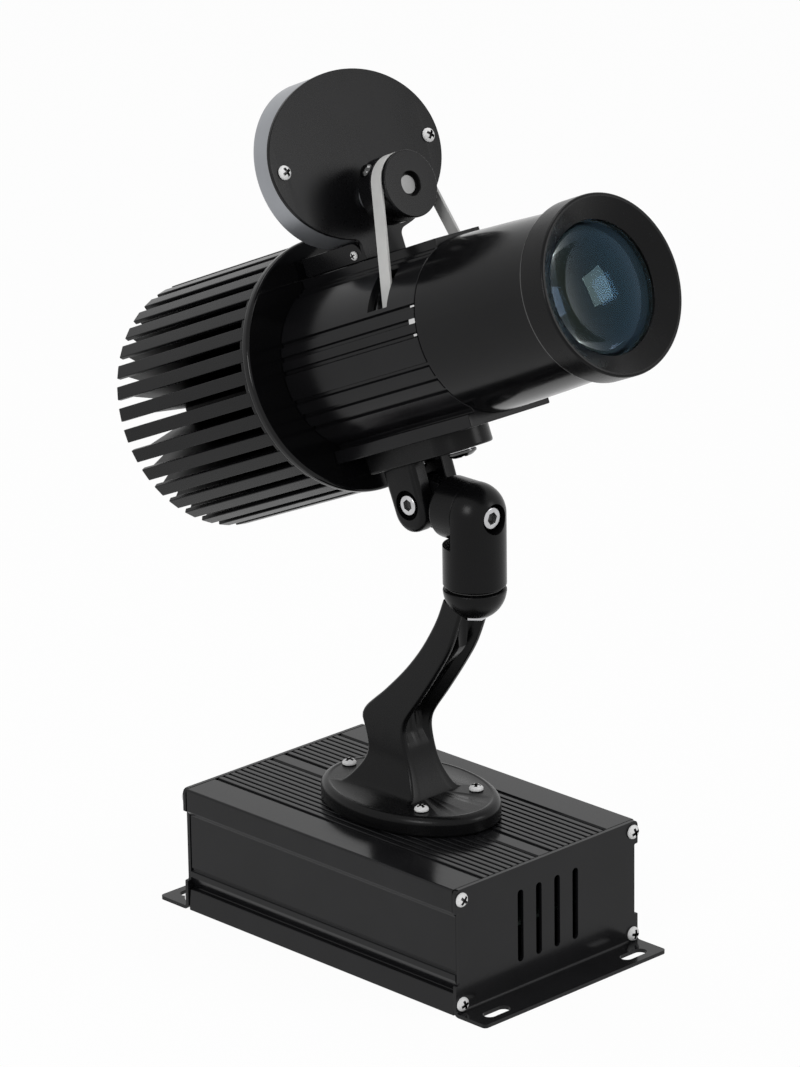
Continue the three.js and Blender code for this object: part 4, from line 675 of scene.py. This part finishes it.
ELBOW_BOTTOM, ELBOW_SHOULDER, ROLL_Z = BOWL_TOP + 1.2, 162.8, 175
SCREW_WELL, ROLL_SCREW_Y = 5.7, -42.6
post = turned([(0, ELBOW_BOTTOM)]
              + rounded([(0, ELBOW_BOTTOM, 0), (SWIVEL, ELBOW_BOTTOM, 0.9), (SWIVEL, ROLL_Z, 0)], 5)[1:]
              + arc(0, ROLL_Z, SWIVEL, 0, 90, 20)[1:-1] + [(0, ROLL_Z + SWIVEL)], 112)
post = moved(post, 0, PAN_Y, 0)
halving = placed(slab(box_outline(-20, 20, ELBOW_SHOULDER, 200), 30),
                 Matrix.Translation((0, -6.3, 0)) @ FORWARD)
screw_well = placed(rod(SCREW_WELL, -7.3, 9), Matrix.Translation((0, PAN_Y - 11.3, ROLL_Z)) @ FORWARD)
elbow = softened(carved(post, halving, screw_well), 0.45, 3, 30)
piece("elbow_moulding", elbow, "elbow", black_plastic, ["elbow"])
screws("roll_screw", "elbow", [((0, ROLL_SCREW_Y, ROLL_Z), (0, -1, 0), 4.25, 8)], ["roll_bolt"], cap_head,
       AS_DRAWN, steel, socket_painted_shade)


# Knuckle
# The short black moulding between the elbow and the fork: a disc on the elbow's flat face,
# and a flat tongue with a round end that the fork's ears pinch.
DISC, DISC_DEPTH, DISC_Y = 11.8, 11.7, -24.3
disc = placed(turned(rounded([(0, 0, 0), (DISC, 0, 1.6), (DISC, DISC_DEPTH, 0.4), (0, DISC_DEPTH, 0)], 5)),
              Matrix.Translation((0, DISC_Y, ROLL_Z)) @ FORWARD)
TILT_Y, TONGUE, TONGUE_ROOT_Y, TONGUE_WIDTH = -13, 9.2, -26, 8
tongue_outline = arc(TILT_Y, ROLL_Z, TONGUE, -90, 90, 24)
tongue_outline += [(TONGUE_ROOT_Y, ROLL_Z + TONGUE), (TONGUE_ROOT_Y, ROLL_Z - TONGUE)]
sideways = Matrix(((0, 0, 1, 0), (1, 0, 0, 0), (0, 1, 0, 0), (0, 0, 0, 1)))
tongue = placed(slab(tongue_outline, TONGUE_WIDTH, (), 0.5),
                Matrix.Translation((-TONGUE_WIDTH / 2, 0, 0)) @ sideways)
knuckle = softened(carved(disc, tongue, how="UNION"), 0.35, 2, 50)
piece("knuckle_moulding", knuckle, "knuckle", black_plastic, ["knuckle"])


# Fork
# The black moulding under the lamp: a thick foot plate with a round front, screwed to the tube's rail,
# and two ears that pinch the knuckle's tongue with a sunk cap screw and a nut.
HEAD_TURN, LENS_UP = -23, 56.4
HEAD = Matrix.Translation((0, TILT_Y, ROLL_Z)) @ Matrix.Rotation(radians(HEAD_TURN), 4, "X")
LENS_AXIS = HEAD @ Matrix.Translation((0, 0, LENS_UP))
FORK_HALF, FORK_FRONT_Y, FORK_REAR_Y, FORK_CORNER = 13, -24.2, 11.6, 2
corner_x = FORK_HALF - FORK_CORNER
plate_rim = arc(0, FORK_FRONT_Y, FORK_HALF, 180, 360, 24) + [(FORK_HALF, FORK_REAR_Y)]
plate_rim += arc(corner_x, FORK_REAR_Y, FORK_CORNER, 0, 90, 4)[1:]
plate_rim += arc(-corner_x, FORK_REAR_Y, FORK_CORNER, 90, 180, 4)
foot_plate = moved(slab(plate_rim, 7.25, (), 0.9, 0.1), 0, 0, 14.3)
ear_outline = arc(0.4, -2.4, 8.2, -180, 0, 20) + [(8.6, 16), (-8.6, 16)]
ears = [placed(slab(ear_outline, 6.7, (), low, high), Matrix.Translation((x, 0, 0)) @ sideways)
        for x, low, high in ((-11, 2.4, 0.5), (4.3, 0.5, 2.4))]
well = placed(rod(SCREW_WELL, -7, 6), Matrix.Translation((-14, 0, 0)) @ Matrix.Rotation(radians(-90), 4, "Y"))
nut_well = placed(slab(circle(4.6, 6), 5, (), 0.1), Matrix.Translation((7.8, 0, 0)) @ sideways)
fork = softened(carved(carved(foot_plate, *ears, how="UNION"), well, nut_well), 0.4, 3, 40)
piece("fork_moulding", fork, "head", black_plastic, ["mount_fork"], HEAD)
screws("tilt_screw", "head", [((-7.3, 0, 0), (-1, 0, 0), 3.9, 20)], ["tilt_bolt"], cap_head, HEAD,
       steel, socket_painted_shade)
FORK_SCREW_Y, FORK_SCREW_SEAT, LOW_HEAD_SHARE = -25.4, 13.8, 0.6
fork_washer = turned(rounded([(2, FORK_SCREW_SEAT, 0), (5.2, FORK_SCREW_SEAT, 0.15), (5.2, 14.25, 0.15),
                              (2, 14.25, 0)], 3), 64)
piece("fork_screw_washer", moved(fork_washer, 0, FORK_SCREW_Y, 0), "head", steel, (), HEAD)
low_head = placed(pan_head.copy(), Matrix.Diagonal((1, 1, LOW_HEAD_SHARE, 1)))
screws("fork_screw", "head", [((0, FORK_SCREW_Y, FORK_SCREW_SEAT), (0, 0, -1), 5.5, 30)],
       ["foot_screw_front"], low_head, HEAD)
repaint(steel, "bright_steel", "tilt_nut", "foot_screw_inner")


# Body tube
# The tube that joins lamp and lens: an aluminium extrusion, anodised black, with flutes along its sides,
# a rail below and a flat pad above. Two curved slots let the belt in.
FORWARD_HEAD = LENS_AXIS @ FORWARD
TUBE, BORE, TUBE_START, TUBE_LENGTH = 33, 30.3, -20.1, 76.5
RAIL_HALF, RAIL_LOW, RAIL_HIGH, RAIL_NECK = 20.3, -34.8, -29.8, 17
RAIL_TURN, PAD_HALF = -58, 11.4
FLUTE_PLACES, FLUTE_DEPTH = [-36, -25.5, -15, 5, 14, 23.5, 61, 65.5], 1.1
half_flute = degrees(1.0 / TUBE)
tube_side = rounded([(0, RAIL_LOW, 0), (RAIL_HALF, RAIL_LOW, 0.5), (RAIL_HALF, RAIL_HIGH, 0.5),
                     (RAIL_NECK, RAIL_HIGH, 0.4), (RAIL_NECK, -28.3, 0)], 3)[1:-1]


def tube_arc(start, stop):
    return arc(0, 0, TUBE, start, stop, max(2, round((stop - start) / 2.5)))


turn = RAIL_TURN
for middle in FLUTE_PLACES:
    tube_side += tube_arc(turn, middle - half_flute)
    tube_side += arc(0, 0, TUBE - FLUTE_DEPTH, middle - half_flute / 2, middle + half_flute / 2, 1)
    turn = middle + half_flute
tube_side += tube_arc(turn, degrees(acos(PAD_HALF / TUBE))) + [(PAD_HALF, 34.0), (11.2, 34.2)]
tube_outline = tube_side + [(-x, z) for x, z in reversed(tube_side)]
tube = moved(slab(tube_outline, TUBE_LENGTH, [circle(BORE, 96)], 0.35), 0, 0, TUBE_START)
belt_ways = []
for side in (1, -1):
    sector = [(side * x, z) for x, z in arc(0, 0, 28, 28, 60, 8) + arc(0, 0, 37, 60, 28, 8)]
    belt_ways.append(moved(slab(sector, 11, (), 0.1), 0, 0, 29.9))
tube = carved(tube, *belt_ways)
drawn_black = finish("drawn_black", (0.005, 0.005, 0.0056), 0.22, 0.0, 0.17, (0.6, 30, 30), 0.004)
piece("lamp_tube", tube, "head", drawn_black, ["body_tube"], FORWARD_HEAD, 25)
raw_metal = finish("raw_aluminium", (0.5, 0.5, 0.5), 0.35, 1.0, 0.5, (0.4, 0.4, 0.4), 0.004)
BARED_FRONT = TUBE_START + TUBE_LENGTH - 0.1
bared = []
for middle, length, width in ((23.5, 2.2, 0.7), (14, 3.2, 1.8), (5, 1.8, 0.8)):
    end = slab(box_outline(-width / 2, width / 2, TUBE - 1.2, TUBE - 0.2), length, (), 0.08)
    end.transform(Matrix.Rotation(radians(90 - middle), 4, "Z"))
    bared.append(moved(end, 0, 0, BARED_FRONT - length))
bared = carved(*bared, how="UNION")
piece("bared_flute_ends", bared, "head", raw_metal, (), FORWARD_HEAD)


# Rear flange and cage
# A turned disc closes the back of the tube, and behind it stands a cage of 36 flat strips in one ring.
# Both are metal coated black, the disc glossier; the strips guard the heat sink and end square.
black_coat = finish("coated_black", (0.0045, 0.0045, 0.005), 0.28, 0.0, 0.17, (0.8, 0.8, 0.8), 0.006)
FLANGE_REAR, FLANGE_FRONT, FLANGE = -24.1, -20.4, 48.5
flange = turned(rounded([(22.3, FLANGE_REAR, 0.2), (FLANGE, FLANGE_REAR, 1.2), (FLANGE, FLANGE_FRONT, 1.2),
                         (22.3, FLANGE_FRONT, 0.2)], 5), 160)
gloss_coat = finish("gloss_black", (0.003, 0.003, 0.0034), 0.12, 0.0, 0.2, (4, 4, 4), 0.003, 0.15, 0.03)
piece("rear_disc", flange, "head", gloss_coat, ["rear_flange"], FORWARD_HEAD)


def ring_tree():
    tree, given, end = tree_named("Ring of strips", [
        ("Strip", "Object"), ("Count", "Int"), ("First turn", "Float"), ("Material", "Material")])
    line = tree.nodes.new("GeometryNodeMeshLine")
    line.inputs["Offset"].default_value = (0, 0, 0)
    order = tree.nodes.new("GeometryNodeInputIndex")
    share = tree.nodes.new("ShaderNodeMath")
    share.operation = "DIVIDE"
    turn = tree.nodes.new("ShaderNodeMath")
    turn.operation = "MULTIPLY_ADD"
    turn.inputs[1].default_value = 2 * pi
    about = tree.nodes.new("ShaderNodeCombineXYZ")
    strip = tree.nodes.new("GeometryNodeObjectInfo")
    copies = tree.nodes.new("GeometryNodeInstanceOnPoints")
    whole = tree.nodes.new("GeometryNodeJoinGeometry")
    tree.links.new(given.outputs["Count"], line.inputs["Count"])
    tree.links.new(order.outputs["Index"], share.inputs[0])
    tree.links.new(given.outputs["Count"], share.inputs[1])
    tree.links.new(share.outputs[0], turn.inputs[0])
    tree.links.new(given.outputs["First turn"], turn.inputs[2])
    tree.links.new(turn.outputs[0], about.inputs["Z"])
    tree.links.new(given.outputs["Strip"], strip.inputs["Object"])
    tree.links.new(line.outputs["Mesh"], copies.inputs["Points"])
    tree.links.new(strip.outputs["Geometry"], copies.inputs["Instance"])
    tree.links.new(about.outputs["Vector"], copies.inputs["Rotation"])
    tree.links.new(copies.outputs["Instances"], whole.inputs["Geometry"])
    tree.links.new(given.outputs["Geometry"], whole.inputs["Geometry"])
    return closed_tree(tree, given, end, whole.outputs["Geometry"], "Material")


STRIPS = 36
FIRST_TURN = radians(3)
strip_ring = ring_tree()


def ring_of(base, strip, paint):
    shown = workpiece(strip)
    made = grown(base, strip_ring,
                 {"Strip": shown, "Count": STRIPS, "First turn": FIRST_TURN, "Material": paint})
    bpy.data.objects.remove(shown)
    return made


STRIP_INSIDE, STRIP_OUTSIDE, STRIP_HALF, STRIP_START, STRIP_LENGTH = 45.9, 47.7, 2.55, -101.3, 76.9
strip_section = [(x, y, 0.3) for x, y in box_outline(STRIP_INSIDE, STRIP_OUTSIDE, -STRIP_HALF, STRIP_HALF)]
strip = moved(slab(rounded(strip_section, 3), STRIP_LENGTH, (), 0.2), 0, 0, STRIP_START)
hoop = turned(rounded([(44, -26.4, 0.2), (47.3, -26.4, 0.3), (47.3, -24.4, 0.3), (44, -24.4, 0.2)], 3), 144)
piece("guard_cage", ring_of(hoop, strip, black_coat), "head", None, ["cage"], FORWARD_HEAD)


# Heat sink
# A finned sink for the lamp: a solid core with one radial fin behind each strip of the cage.
# It is one aluminium extrusion, anodised black, pressed through the rear disc.
SINK_START, FIN_LENGTH, FIN_HALF, FIN_ROOT, FIN_TIP = -101.2, 74.5, 0.65, 15.5, 45.6
CORE, CORE_FOOT, CORE_STEP = 16, 22, -29.7
fin_section = rounded([(FIN_ROOT, -FIN_HALF, 0), (FIN_TIP, -FIN_HALF, 0.3), (FIN_TIP, FIN_HALF, 0.3),
                       (FIN_ROOT, FIN_HALF, 0)], 3)
fin = moved(slab(fin_section, FIN_LENGTH, (), 0.15), 0, 0, SINK_START)
core = turned(rounded([(0, SINK_START, 0), (CORE, SINK_START, 0.4), (CORE, CORE_STEP, 0),
                       (CORE_FOOT, CORE_STEP, 0.2), (CORE_FOOT, FLANGE_FRONT, 0.4), (0, FLANGE_FRONT, 0)], 3))
sink_black = finish("sink_black", (0.004, 0.004, 0.0045), 0.38, 0.0, 0.08, (0.6, 30, 0.6), 0.002)
piece("finned_sink", ring_of(core, fin, sink_black), "head", None, ["heat_sink"],
      FORWARD_HEAD)


# Lamp, condenser and gobo wheel
# Inside the tube: the light-emitting module, a condenser in its holder, and the gobo in a belt-driven
# wheel that runs in a plain bearing. They are hardly seen, so they keep their plain forms.
repaint(raw_metal, "raw_aluminium", "led_module")
repaint(black_coat, "coated_black", "condenser_holder", "gobo_rotor", "motor_block", "lens_retainer")
repaint(steel, "bright_steel", "gobo_bearing", "gobo", "gobo_ring")


def glass(name, tint, film):
    paint = bpy.data.materials.new(name)
    paint.use_nodes = True
    nodes, links = paint.node_tree.nodes, paint.node_tree.links
    shader = nodes["Principled BSDF"]
    shader.inputs["Transmission Weight"].default_value = 1.0
    shader.inputs["IOR"].default_value = 1.3
    shader.inputs["Thin Film Thickness"].default_value = film
    shader.inputs["Thin Film IOR"].default_value = 1.22
    where = nodes.new("ShaderNodeTexCoord")
    dust = nodes.new("ShaderNodeTexNoise")
    dust.inputs["Scale"].default_value = 900.0
    haze = nodes.new("ShaderNodeMapRange")
    haze.inputs["From Min"].default_value = 0.55
    haze.inputs["From Max"].default_value = 0.8
    haze.inputs["To Min"].default_value = 0.0
    haze.inputs["To Max"].default_value = 0.06
    shader.inputs["Base Color"].default_value = tint
    links.new(where.outputs["Object"], dust.inputs["Vector"])
    links.new(dust.outputs["Fac"], haze.inputs["Value"])
    links.new(haze.outputs["Result"], shader.inputs["Roughness"])
    return paint


coated_glass = glass("coated_glass", (0.82, 0.95, 0.95, 1), 225.0)
repaint(coated_glass, "coated_glass", "condenser_lens")


# Belt
# An endless flat belt of pale grey rubber, stretched over the motor's pulley and the gobo wheel.
# It goes into the tube through the two slots.
PULLEY_UP = 56.2


def belt_loop(lower, upper):
    lean = degrees(asin((lower - upper) / PULLEY_UP))
    return arc(0, 0, lower, -180 - lean, lean, 72) + arc(0, PULLEY_UP, upper, lean, 180 - lean, 48)


belt_rubber = finish("grey_belt", (0.52, 0.52, 0.51), 0.6, 0.0, 0.4, (0.3, 2, 0.3), 0.01, 0.06, 0.1, 8.0)
BELT, BELT_WIDTH, BELT_START, WHEEL, SEAT = 1.1, 5.6, 32.6, 25.9, 11.5
belt = slab(belt_loop(WHEEL + BELT, SEAT + BELT), BELT_WIDTH, [belt_loop(WHEEL, SEAT)], 0.2)
belt = moved(belt, 0, 0, BELT_START)
piece("drive_belt", belt, "head", belt_rubber, ["belt"], FORWARD_HEAD)


# Pulley
# A turned black wheel with a belt seat between two rims and a long collar behind.
# A small screw in the collar grips the motor's shaft, whose end shows in the recess of its face.
PULLEY_PLACE = FORWARD_HEAD @ Matrix.Translation((0, PULLEY_UP, 0))
PULLEY, PULLEY_BORE, PULLEY_SEAT, PULLEY_RECESS = 12.6, 2.85, 11.2, 4.6
SEAT_START, SEAT_END, RECESS_FLOOR = 32.2, 38.6, 37.9
pulley_profile = rounded([(PULLEY_BORE, 25.2, 0), (PULLEY, 25.2, 0.7), (PULLEY, SEAT_START, 0.25),
                          (PULLEY_SEAT, SEAT_START, 0.1), (PULLEY_SEAT, SEAT_END, 0.1),
                          (PULLEY, SEAT_END, 0.25), (PULLEY, 40.5, 0.5), (PULLEY_RECESS, 40.5, 0.3),
                          (PULLEY_RECESS, RECESS_FLOOR, 0.1), (PULLEY_BORE, RECESS_FLOOR, 0)])
piece("belt_pulley", turned(pulley_profile), "pulley", black_coat, ["drive_pulley"],
      PULLEY_PLACE)
SHAFT, SHAFT_START, SHAFT_CAP, SHAFT_END = 2.5, 19.5, 3.6, 38.6
shaft = turned(rounded([(0, SHAFT_START, 0), (SHAFT, SHAFT_START, 0), (SHAFT, 38, 0), (SHAFT_CAP, 38, 0.1),
                        (SHAFT_CAP, SHAFT_END, 0.2), (0, SHAFT_END, 0)], 3), 48)
# This grey is the motor shaft's own metal, and it also paints the highlight band on the focus ring's rear
# edge.
shaft_and_highlight_grey = finish("turned_shaft_and_highlight_band", (0.14, 0.14, 0.14), 0.3, 1.0, 0.5, (0.3, 0.3, 0.3), 0.004)
piece("motor_shaft_end", shaft, "pulley", shaft_and_highlight_grey, ["motor_shaft"], PULLEY_PLACE)
SET_TURN, SET_REACH, SET_PLACE = radians(134), 12.4, 28.8
set_way = (cos(SET_TURN), sin(SET_TURN), 0)
set_seat = (SET_REACH * set_way[0], SET_REACH * set_way[1], SET_PLACE)
screws("set_screw", "pulley", [(set_seat, set_way, PAN_HEAD_RADIUS, 25)], ["pulley_set_screw"], pan_head,
       PULLEY_PLACE)


# Motor bracket
# Black-coated sheet on top of the tube: an oval plate on a flared neck carries the motor,
# and two cheeks fold back along a block that is screwed to the tube's pad.
MOTOR_UP, OVAL_HALF_WIDTH, OVAL_HALF_HEIGHT = 72.7, 42.2, 31.8
OVAL_START, OVAL_SWEEP, OVAL_STEPS = -66, 312, 104
NECK_HALF, NECK_TOP, BRACKET_BOTTOM, SHEET, SHEET_PLACE, MOTOR_SCREW_X = 10.3, 41.9, 34.5, 1.6, 15, 36.6
oval_turns = [radians(OVAL_START + OVAL_SWEEP * k / OVAL_STEPS) for k in range(OVAL_STEPS + 1)]
oval_plate = [(OVAL_HALF_WIDTH * cos(t), MOTOR_UP + OVAL_HALF_HEIGHT * sin(t), 0) for t in oval_turns]
oval_plate += [(-NECK_HALF, NECK_TOP, 3), (-NECK_HALF, BRACKET_BOTTOM, 0.3),
               (NECK_HALF, BRACKET_BOTTOM, 0.3), (NECK_HALF, NECK_TOP, 3)]
holes = [moved(rod(1.75, 10, 20, 24), x, MOTOR_UP, 0) for x in (-MOTOR_SCREW_X, MOTOR_SCREW_X)]
holes.append(moved(rod(5.35, 10, 20, 48), 0, PULLEY_UP, 0))
oval_sheet = carved(moved(slab(rounded(oval_plate, 5), SHEET, (), 0.3), 0, 0, SHEET_PLACE), *holes)
cheek_outline = [(15.8, BRACKET_BOTTOM), (-18, BRACKET_BOTTOM), (-18, 41.7)]
cheek_outline += arc(10, 36.7, 5, 90, 0, 8) + [(15.8, 36.7)]
cheeks = []
for x in (-NECK_HALF, NECK_HALF - SHEET):
    cheek = slab(cheek_outline, SHEET, (), 0.25)
    cheeks.append(placed(cheek, Matrix(((0, 0, 1, x), (0, 1, 0, 0), (1, 0, 0, 0), (0, 0, 0, 1)))))
bracket = softened(carved(oval_sheet, *cheeks, how="UNION"), 0.15, 2, 50)
piece("motor_bracket_sheet", bracket, "head", black_coat, ["motor_bracket"], FORWARD_HEAD)
motor_seats = [((x, MOTOR_UP, SHEET_PLACE + SHEET + 0.05), (0, 0, 1), 2.7, spin)
               for x, spin in ((-MOTOR_SCREW_X, 22), (MOTOR_SCREW_X, 50))]
screws("motor_screws", "head", motor_seats, ["motor_screw_left", "motor_screw_right"], pan_head, FORWARD_HEAD)
cheek_seats = [((side * 10.35, 37.1, 11), (side, 0, 0), 1.7, 15) for side in (-1, 1)]
screws("cheek_screws", "head", cheek_seats, ["cheek_screw_left", "cheek_screw_right"], pan_head, FORWARD_HEAD)


# Motor
# A flat geared synchronous motor in a drawn silver can, with two lugs behind the oval plate.
# Its shaft leaves off centre through a short bush.
silver = finish("silver_can", (0.3, 0.31, 0.33), 0.38, 0.7, 0.5, (0.3, 0.3, 3), 0.004, 0.08)
CAN, CAN_REAR, CAN_FRONT = 31.6, -5.3, 13.9
LUG_HALF_WIDTH, LUG_HALF_HEIGHT, LUG_STEPS, LUG_PLACE = 41, 15.8, 72, 13.7
can = turned(rounded([(0, CAN_REAR, 0), (CAN, CAN_REAR, 1.3), (CAN, CAN_FRONT, 0.3),
                      (0, CAN_FRONT, 0)], 6), 144)
lug_turns = [2 * pi * k / LUG_STEPS for k in range(LUG_STEPS)]
lug_outline = [(LUG_HALF_WIDTH * cos(t), MOTOR_UP + LUG_HALF_HEIGHT * sin(t)) for t in lug_turns]
lug = moved(slab(lug_outline, 1, (), 0.2), 0, 0, LUG_PLACE)
bush = turned(rounded([(0, 13, 0), (5, 13, 0), (5, 19.1, 0.4), (0, 19.1, 0)]), 48)
motor = carved(moved(can, 0, MOTOR_UP, 0), lug, moved(bush, 0, PULLEY_UP, 0), how="UNION")
piece("motor_can", motor, "head", silver, ["motor"], FORWARD_HEAD)


# Lens barrel and focus ring
# The glossy black barrel slides its spigot into the tube; the focus ring turns on its front end
# and carries the lens cell in and out. The ring's mouth is a cone, and the thin grey metal band on its rear
# edge is a painted highlight.
SLEEVE_WAY, BARREL_FRONT, RING, RING_REAR, RING_FRONT, RING_MOUTH = 27.65, 114.4, 33.3, 114.8, 126.4, 24.6
barrel_profile = rounded([(SLEEVE_WAY, 44.7, 0), (30, 44.7, 0.3), (30, 56.7, 0), (33, 56.7, 0.5),
                          (31.9, 86.7, 0), (31.1, 102.9, 0), (30.8, BARREL_FRONT, 0.4),
                          (SLEEVE_WAY, BARREL_FRONT, 0.2)])
barrel_black = finish("barrel_black", (0.0034, 0.0034, 0.0038), 0.16, 0.0, 0.16, (4, 4, 4), 0.004, 0.15, 0.04)
piece("barrel", turned(barrel_profile, 160), "head", barrel_black, ["lens_barrel"],
      FORWARD_HEAD)
ring_profile = rounded([(SLEEVE_WAY, RING_REAR, 0.2), (RING, RING_REAR, 0.6), (RING, RING_FRONT, 0.9),
                        (31.8, RING_FRONT, 0.25), (RING_MOUTH, 121.2, 0.3), (RING_MOUTH, 120, 0.1),
                        (SLEEVE_WAY, 120, 0.1)], 5)
piece("focus_grip", turned(ring_profile, 160), "focus_ring", black_plastic, ["focus_ring"],
      FORWARD_HEAD)
# A thin grey metal band on the ring's rear edge: a painted highlight for the light along that rounded edge.
ring_highlight_band = turned(rounded([(31.2, 114.5, 0), (33.1, 114.5, 0.15), (33.1, 114.85, 0),
                            (31.2, 114.85, 0)], 3), 128)
piece("focus_grip_edge", ring_highlight_band, "focus_ring", shaft_and_highlight_grey, (), FORWARD_HEAD)


# Lens cell and lenses
# A black sleeve holds two coated lenses, one in a seat at each end. The rear one is flat behind.
# The front lens bulges into the ring's mouth, and its coating tints what it reflects.
cell_profile = rounded([(25.6, 73.7, 0), (27.3, 73.7, 0.2), (27.3, 119.7, 0.2), (25.6, 119.7, 0.1),
                        (25.6, 115.7, 0),
                        (23.7, 115.7, 0.2), (23.7, 80.7, 0.2), (25.6, 80.7, 0)], 3)
inner_black = finish("cell_black", (0.008, 0.008, 0.008), 0.5, 0.0, 0.3, (0.5, 0.5, 0.5), 0.01)
piece("cell_sleeve", turned(cell_profile, 128), "lens_cell", inner_black, ["lens_cell"],
      FORWARD_HEAD)


LENS, LENS_EDGE, BACK_RADIUS, BACK_STEPS = 25.3, 3.2, 23.4, 12


def lens_profile(radius, edge, sag, steps, back_sag=0):
    """A lens domed in front by its sag, and behind by its back sag where it has one."""
    shares = [k / BACK_STEPS for k in range(BACK_STEPS + 1)] if back_sag else [0]
    back = [(BACK_RADIUS * share, -back_sag * (1 - share ** 2)) for share in shares]
    curve = (radius * radius + sag * sag) / (2 * sag)
    dome = [(radius * k / steps, edge + sqrt(curve * curve - (radius * k / steps) ** 2) - (curve - sag))
            for k in range(steps, -1, -1)]
    return back + [(radius - 0.2, 0), (radius, 0.2)] + dome


front_glass = moved(turned(lens_profile(LENS, LENS_EDGE, 6.4, 24, 3.6), 128), 0, 0, 116)
piece("front_lens_glass", front_glass, "lens_cell", coated_glass, ["front_lens"],
      FORWARD_HEAD)
rear_glass = turned(lens_profile(LENS, LENS_EDGE, 3.6, 24))
rear_glass.transform(Matrix.Translation((0, 0, 80.4)) @ Matrix.Rotation(radians(180), 4, "X"))
piece("rear_lens_glass", rear_glass, "lens_cell", coated_glass, ["rear_lens"], FORWARD_HEAD)


# Studio
# A pale floor under a white sky, soft boxes left, right and above, and the camera at the photograph's
# place. None of it belongs to the object.
def staged(name, outline, place, paint):
    sheet = flat_sheet(outline, (), ())
    sheet.transform(Matrix.Scale(MM, 4) @ place)
    sheet.materials.append(paint)
    made = bpy.data.objects.new(name, sheet)
    scene.collection.objects.link(made)
    return made


def seen_rays(nodes, links):
    """One for camera, glossy and transmission rays, and nought for the rest."""
    path = nodes.new("ShaderNodeLightPath")
    first, both = nodes.new("ShaderNodeMath"), nodes.new("ShaderNodeMath")
    for node in (first, both):
        node.operation = "MAXIMUM"
    links.new(path.outputs["Is Camera Ray"], first.inputs[0])
    links.new(path.outputs["Is Glossy Ray"], first.inputs[1])
    links.new(first.outputs[0], both.inputs[0])
    links.new(path.outputs["Is Transmission Ray"], both.inputs[1])
    return both.outputs[0]


floor_paint = bpy.data.materials.new("studio_floor")
floor_paint.use_nodes = True
nodes, links = floor_paint.node_tree.nodes, floor_paint.node_tree.links
floor_shader, floor_out = nodes["Principled BSDF"], nodes["Material Output"]
floor_shader.inputs["Base Color"].default_value = (0.85, 0.85, 0.85, 1)
floor_shader.inputs["Roughness"].default_value = 0.9
floor_shader.inputs["Specular IOR Level"].default_value = 0.0
glow, blend = nodes.new("ShaderNodeEmission"), nodes.new("ShaderNodeMixShader")
FLOOR_GLOW_SHARE = 0.96
glow_share = nodes.new("ShaderNodeMath")
glow_share.operation = "MULTIPLY"
glow_share.inputs[1].default_value = FLOOR_GLOW_SHARE
links.new(seen_rays(nodes, links), glow_share.inputs[0])
links.new(glow_share.outputs[0], blend.inputs["Fac"])
links.new(floor_shader.outputs["BSDF"], blend.inputs[1])
links.new(glow.outputs["Emission"], blend.inputs[2])
links.new(blend.outputs["Shader"], floor_out.inputs["Surface"])
FLOOR_HALF = 9000
staged("studio_floor", box_outline(-FLOOR_HALF, FLOOR_HALF, -FLOOR_HALF, FLOOR_HALF),
       Matrix.Translation((0, 0, -0.0003)), floor_paint)

world = bpy.data.worlds.new("studio_sky")
scene.world = world
world.use_nodes = True
nodes, links = world.node_tree.nodes, world.node_tree.links
sky = nodes["Background"]
sky.inputs["Color"].default_value = (1, 1, 1, 1)
SKY_ON_OBJECT, SKY_SEEN = 0.45, 1.0
sky_level = nodes.new("ShaderNodeMapRange")
sky_level.inputs["To Min"].default_value = SKY_ON_OBJECT
sky_level.inputs["To Max"].default_value = SKY_SEEN
links.new(seen_rays(nodes, links), sky_level.inputs["Value"])
links.new(sky_level.outputs["Result"], sky.inputs["Strength"])

TARGET = Vector((0, 0, 0.18))
for name, spot, size, power in (("soft_box_left", (-1.1, -0.35, 0.75), 0.45, 5.0),
                                ("soft_box_right", (0.75, -1.25, 0.8), 0.55, 4.5),
                                ("soft_box_above", (0.1, 0.2, 1.5), 0.6, 5.0)):
    lamp = bpy.data.lights.new(name, "AREA")
    lamp.shape, lamp.size, lamp.size_y, lamp.energy = "RECTANGLE", size, size, power
    held = bpy.data.objects.new(name, lamp)
    held.location = spot
    held.rotation_euler = (Vector(spot) - TARGET).to_track_quat("Z", "Y").to_euler()
    scene.collection.objects.link(held)

CAMERA_AZIMUTH, CAMERA_HEIGHT, CAMERA_ROLL = radians(-44.06), radians(18.93), radians(-0.84)
CAMERA_DISTANCE, CAMERA_RIGHT, CAMERA_UP = 2.0, -0.00128, -0.0205
FOCAL_LENGTH_PIXELS, PHOTO_HEIGHT_PIXELS, SENSOR = 5387, 1067, 36
level = cos(CAMERA_HEIGHT)
back = Vector((sin(CAMERA_AZIMUTH) * level, -cos(CAMERA_AZIMUTH) * level, sin(CAMERA_HEIGHT)))
level_right = Vector((cos(CAMERA_AZIMUTH), sin(CAMERA_AZIMUTH), 0))
level_up = back.cross(level_right)
right = cos(CAMERA_ROLL) * level_right + sin(CAMERA_ROLL) * level_up
up = -sin(CAMERA_ROLL) * level_right + cos(CAMERA_ROLL) * level_up
camera = bpy.data.objects.new("camera", bpy.data.cameras.new("camera"))
camera.data.lens = FOCAL_LENGTH_PIXELS * SENSOR / PHOTO_HEIGHT_PIXELS
camera.data.sensor_width = SENSOR
camera.data.clip_end = 20
pose = Matrix((right, up, back)).transposed().to_4x4()
pose.translation = TARGET + back * CAMERA_DISTANCE + right * CAMERA_RIGHT + up * CAMERA_UP
camera.matrix_world = pose
scene.collection.objects.link(camera)
scene.camera = camera
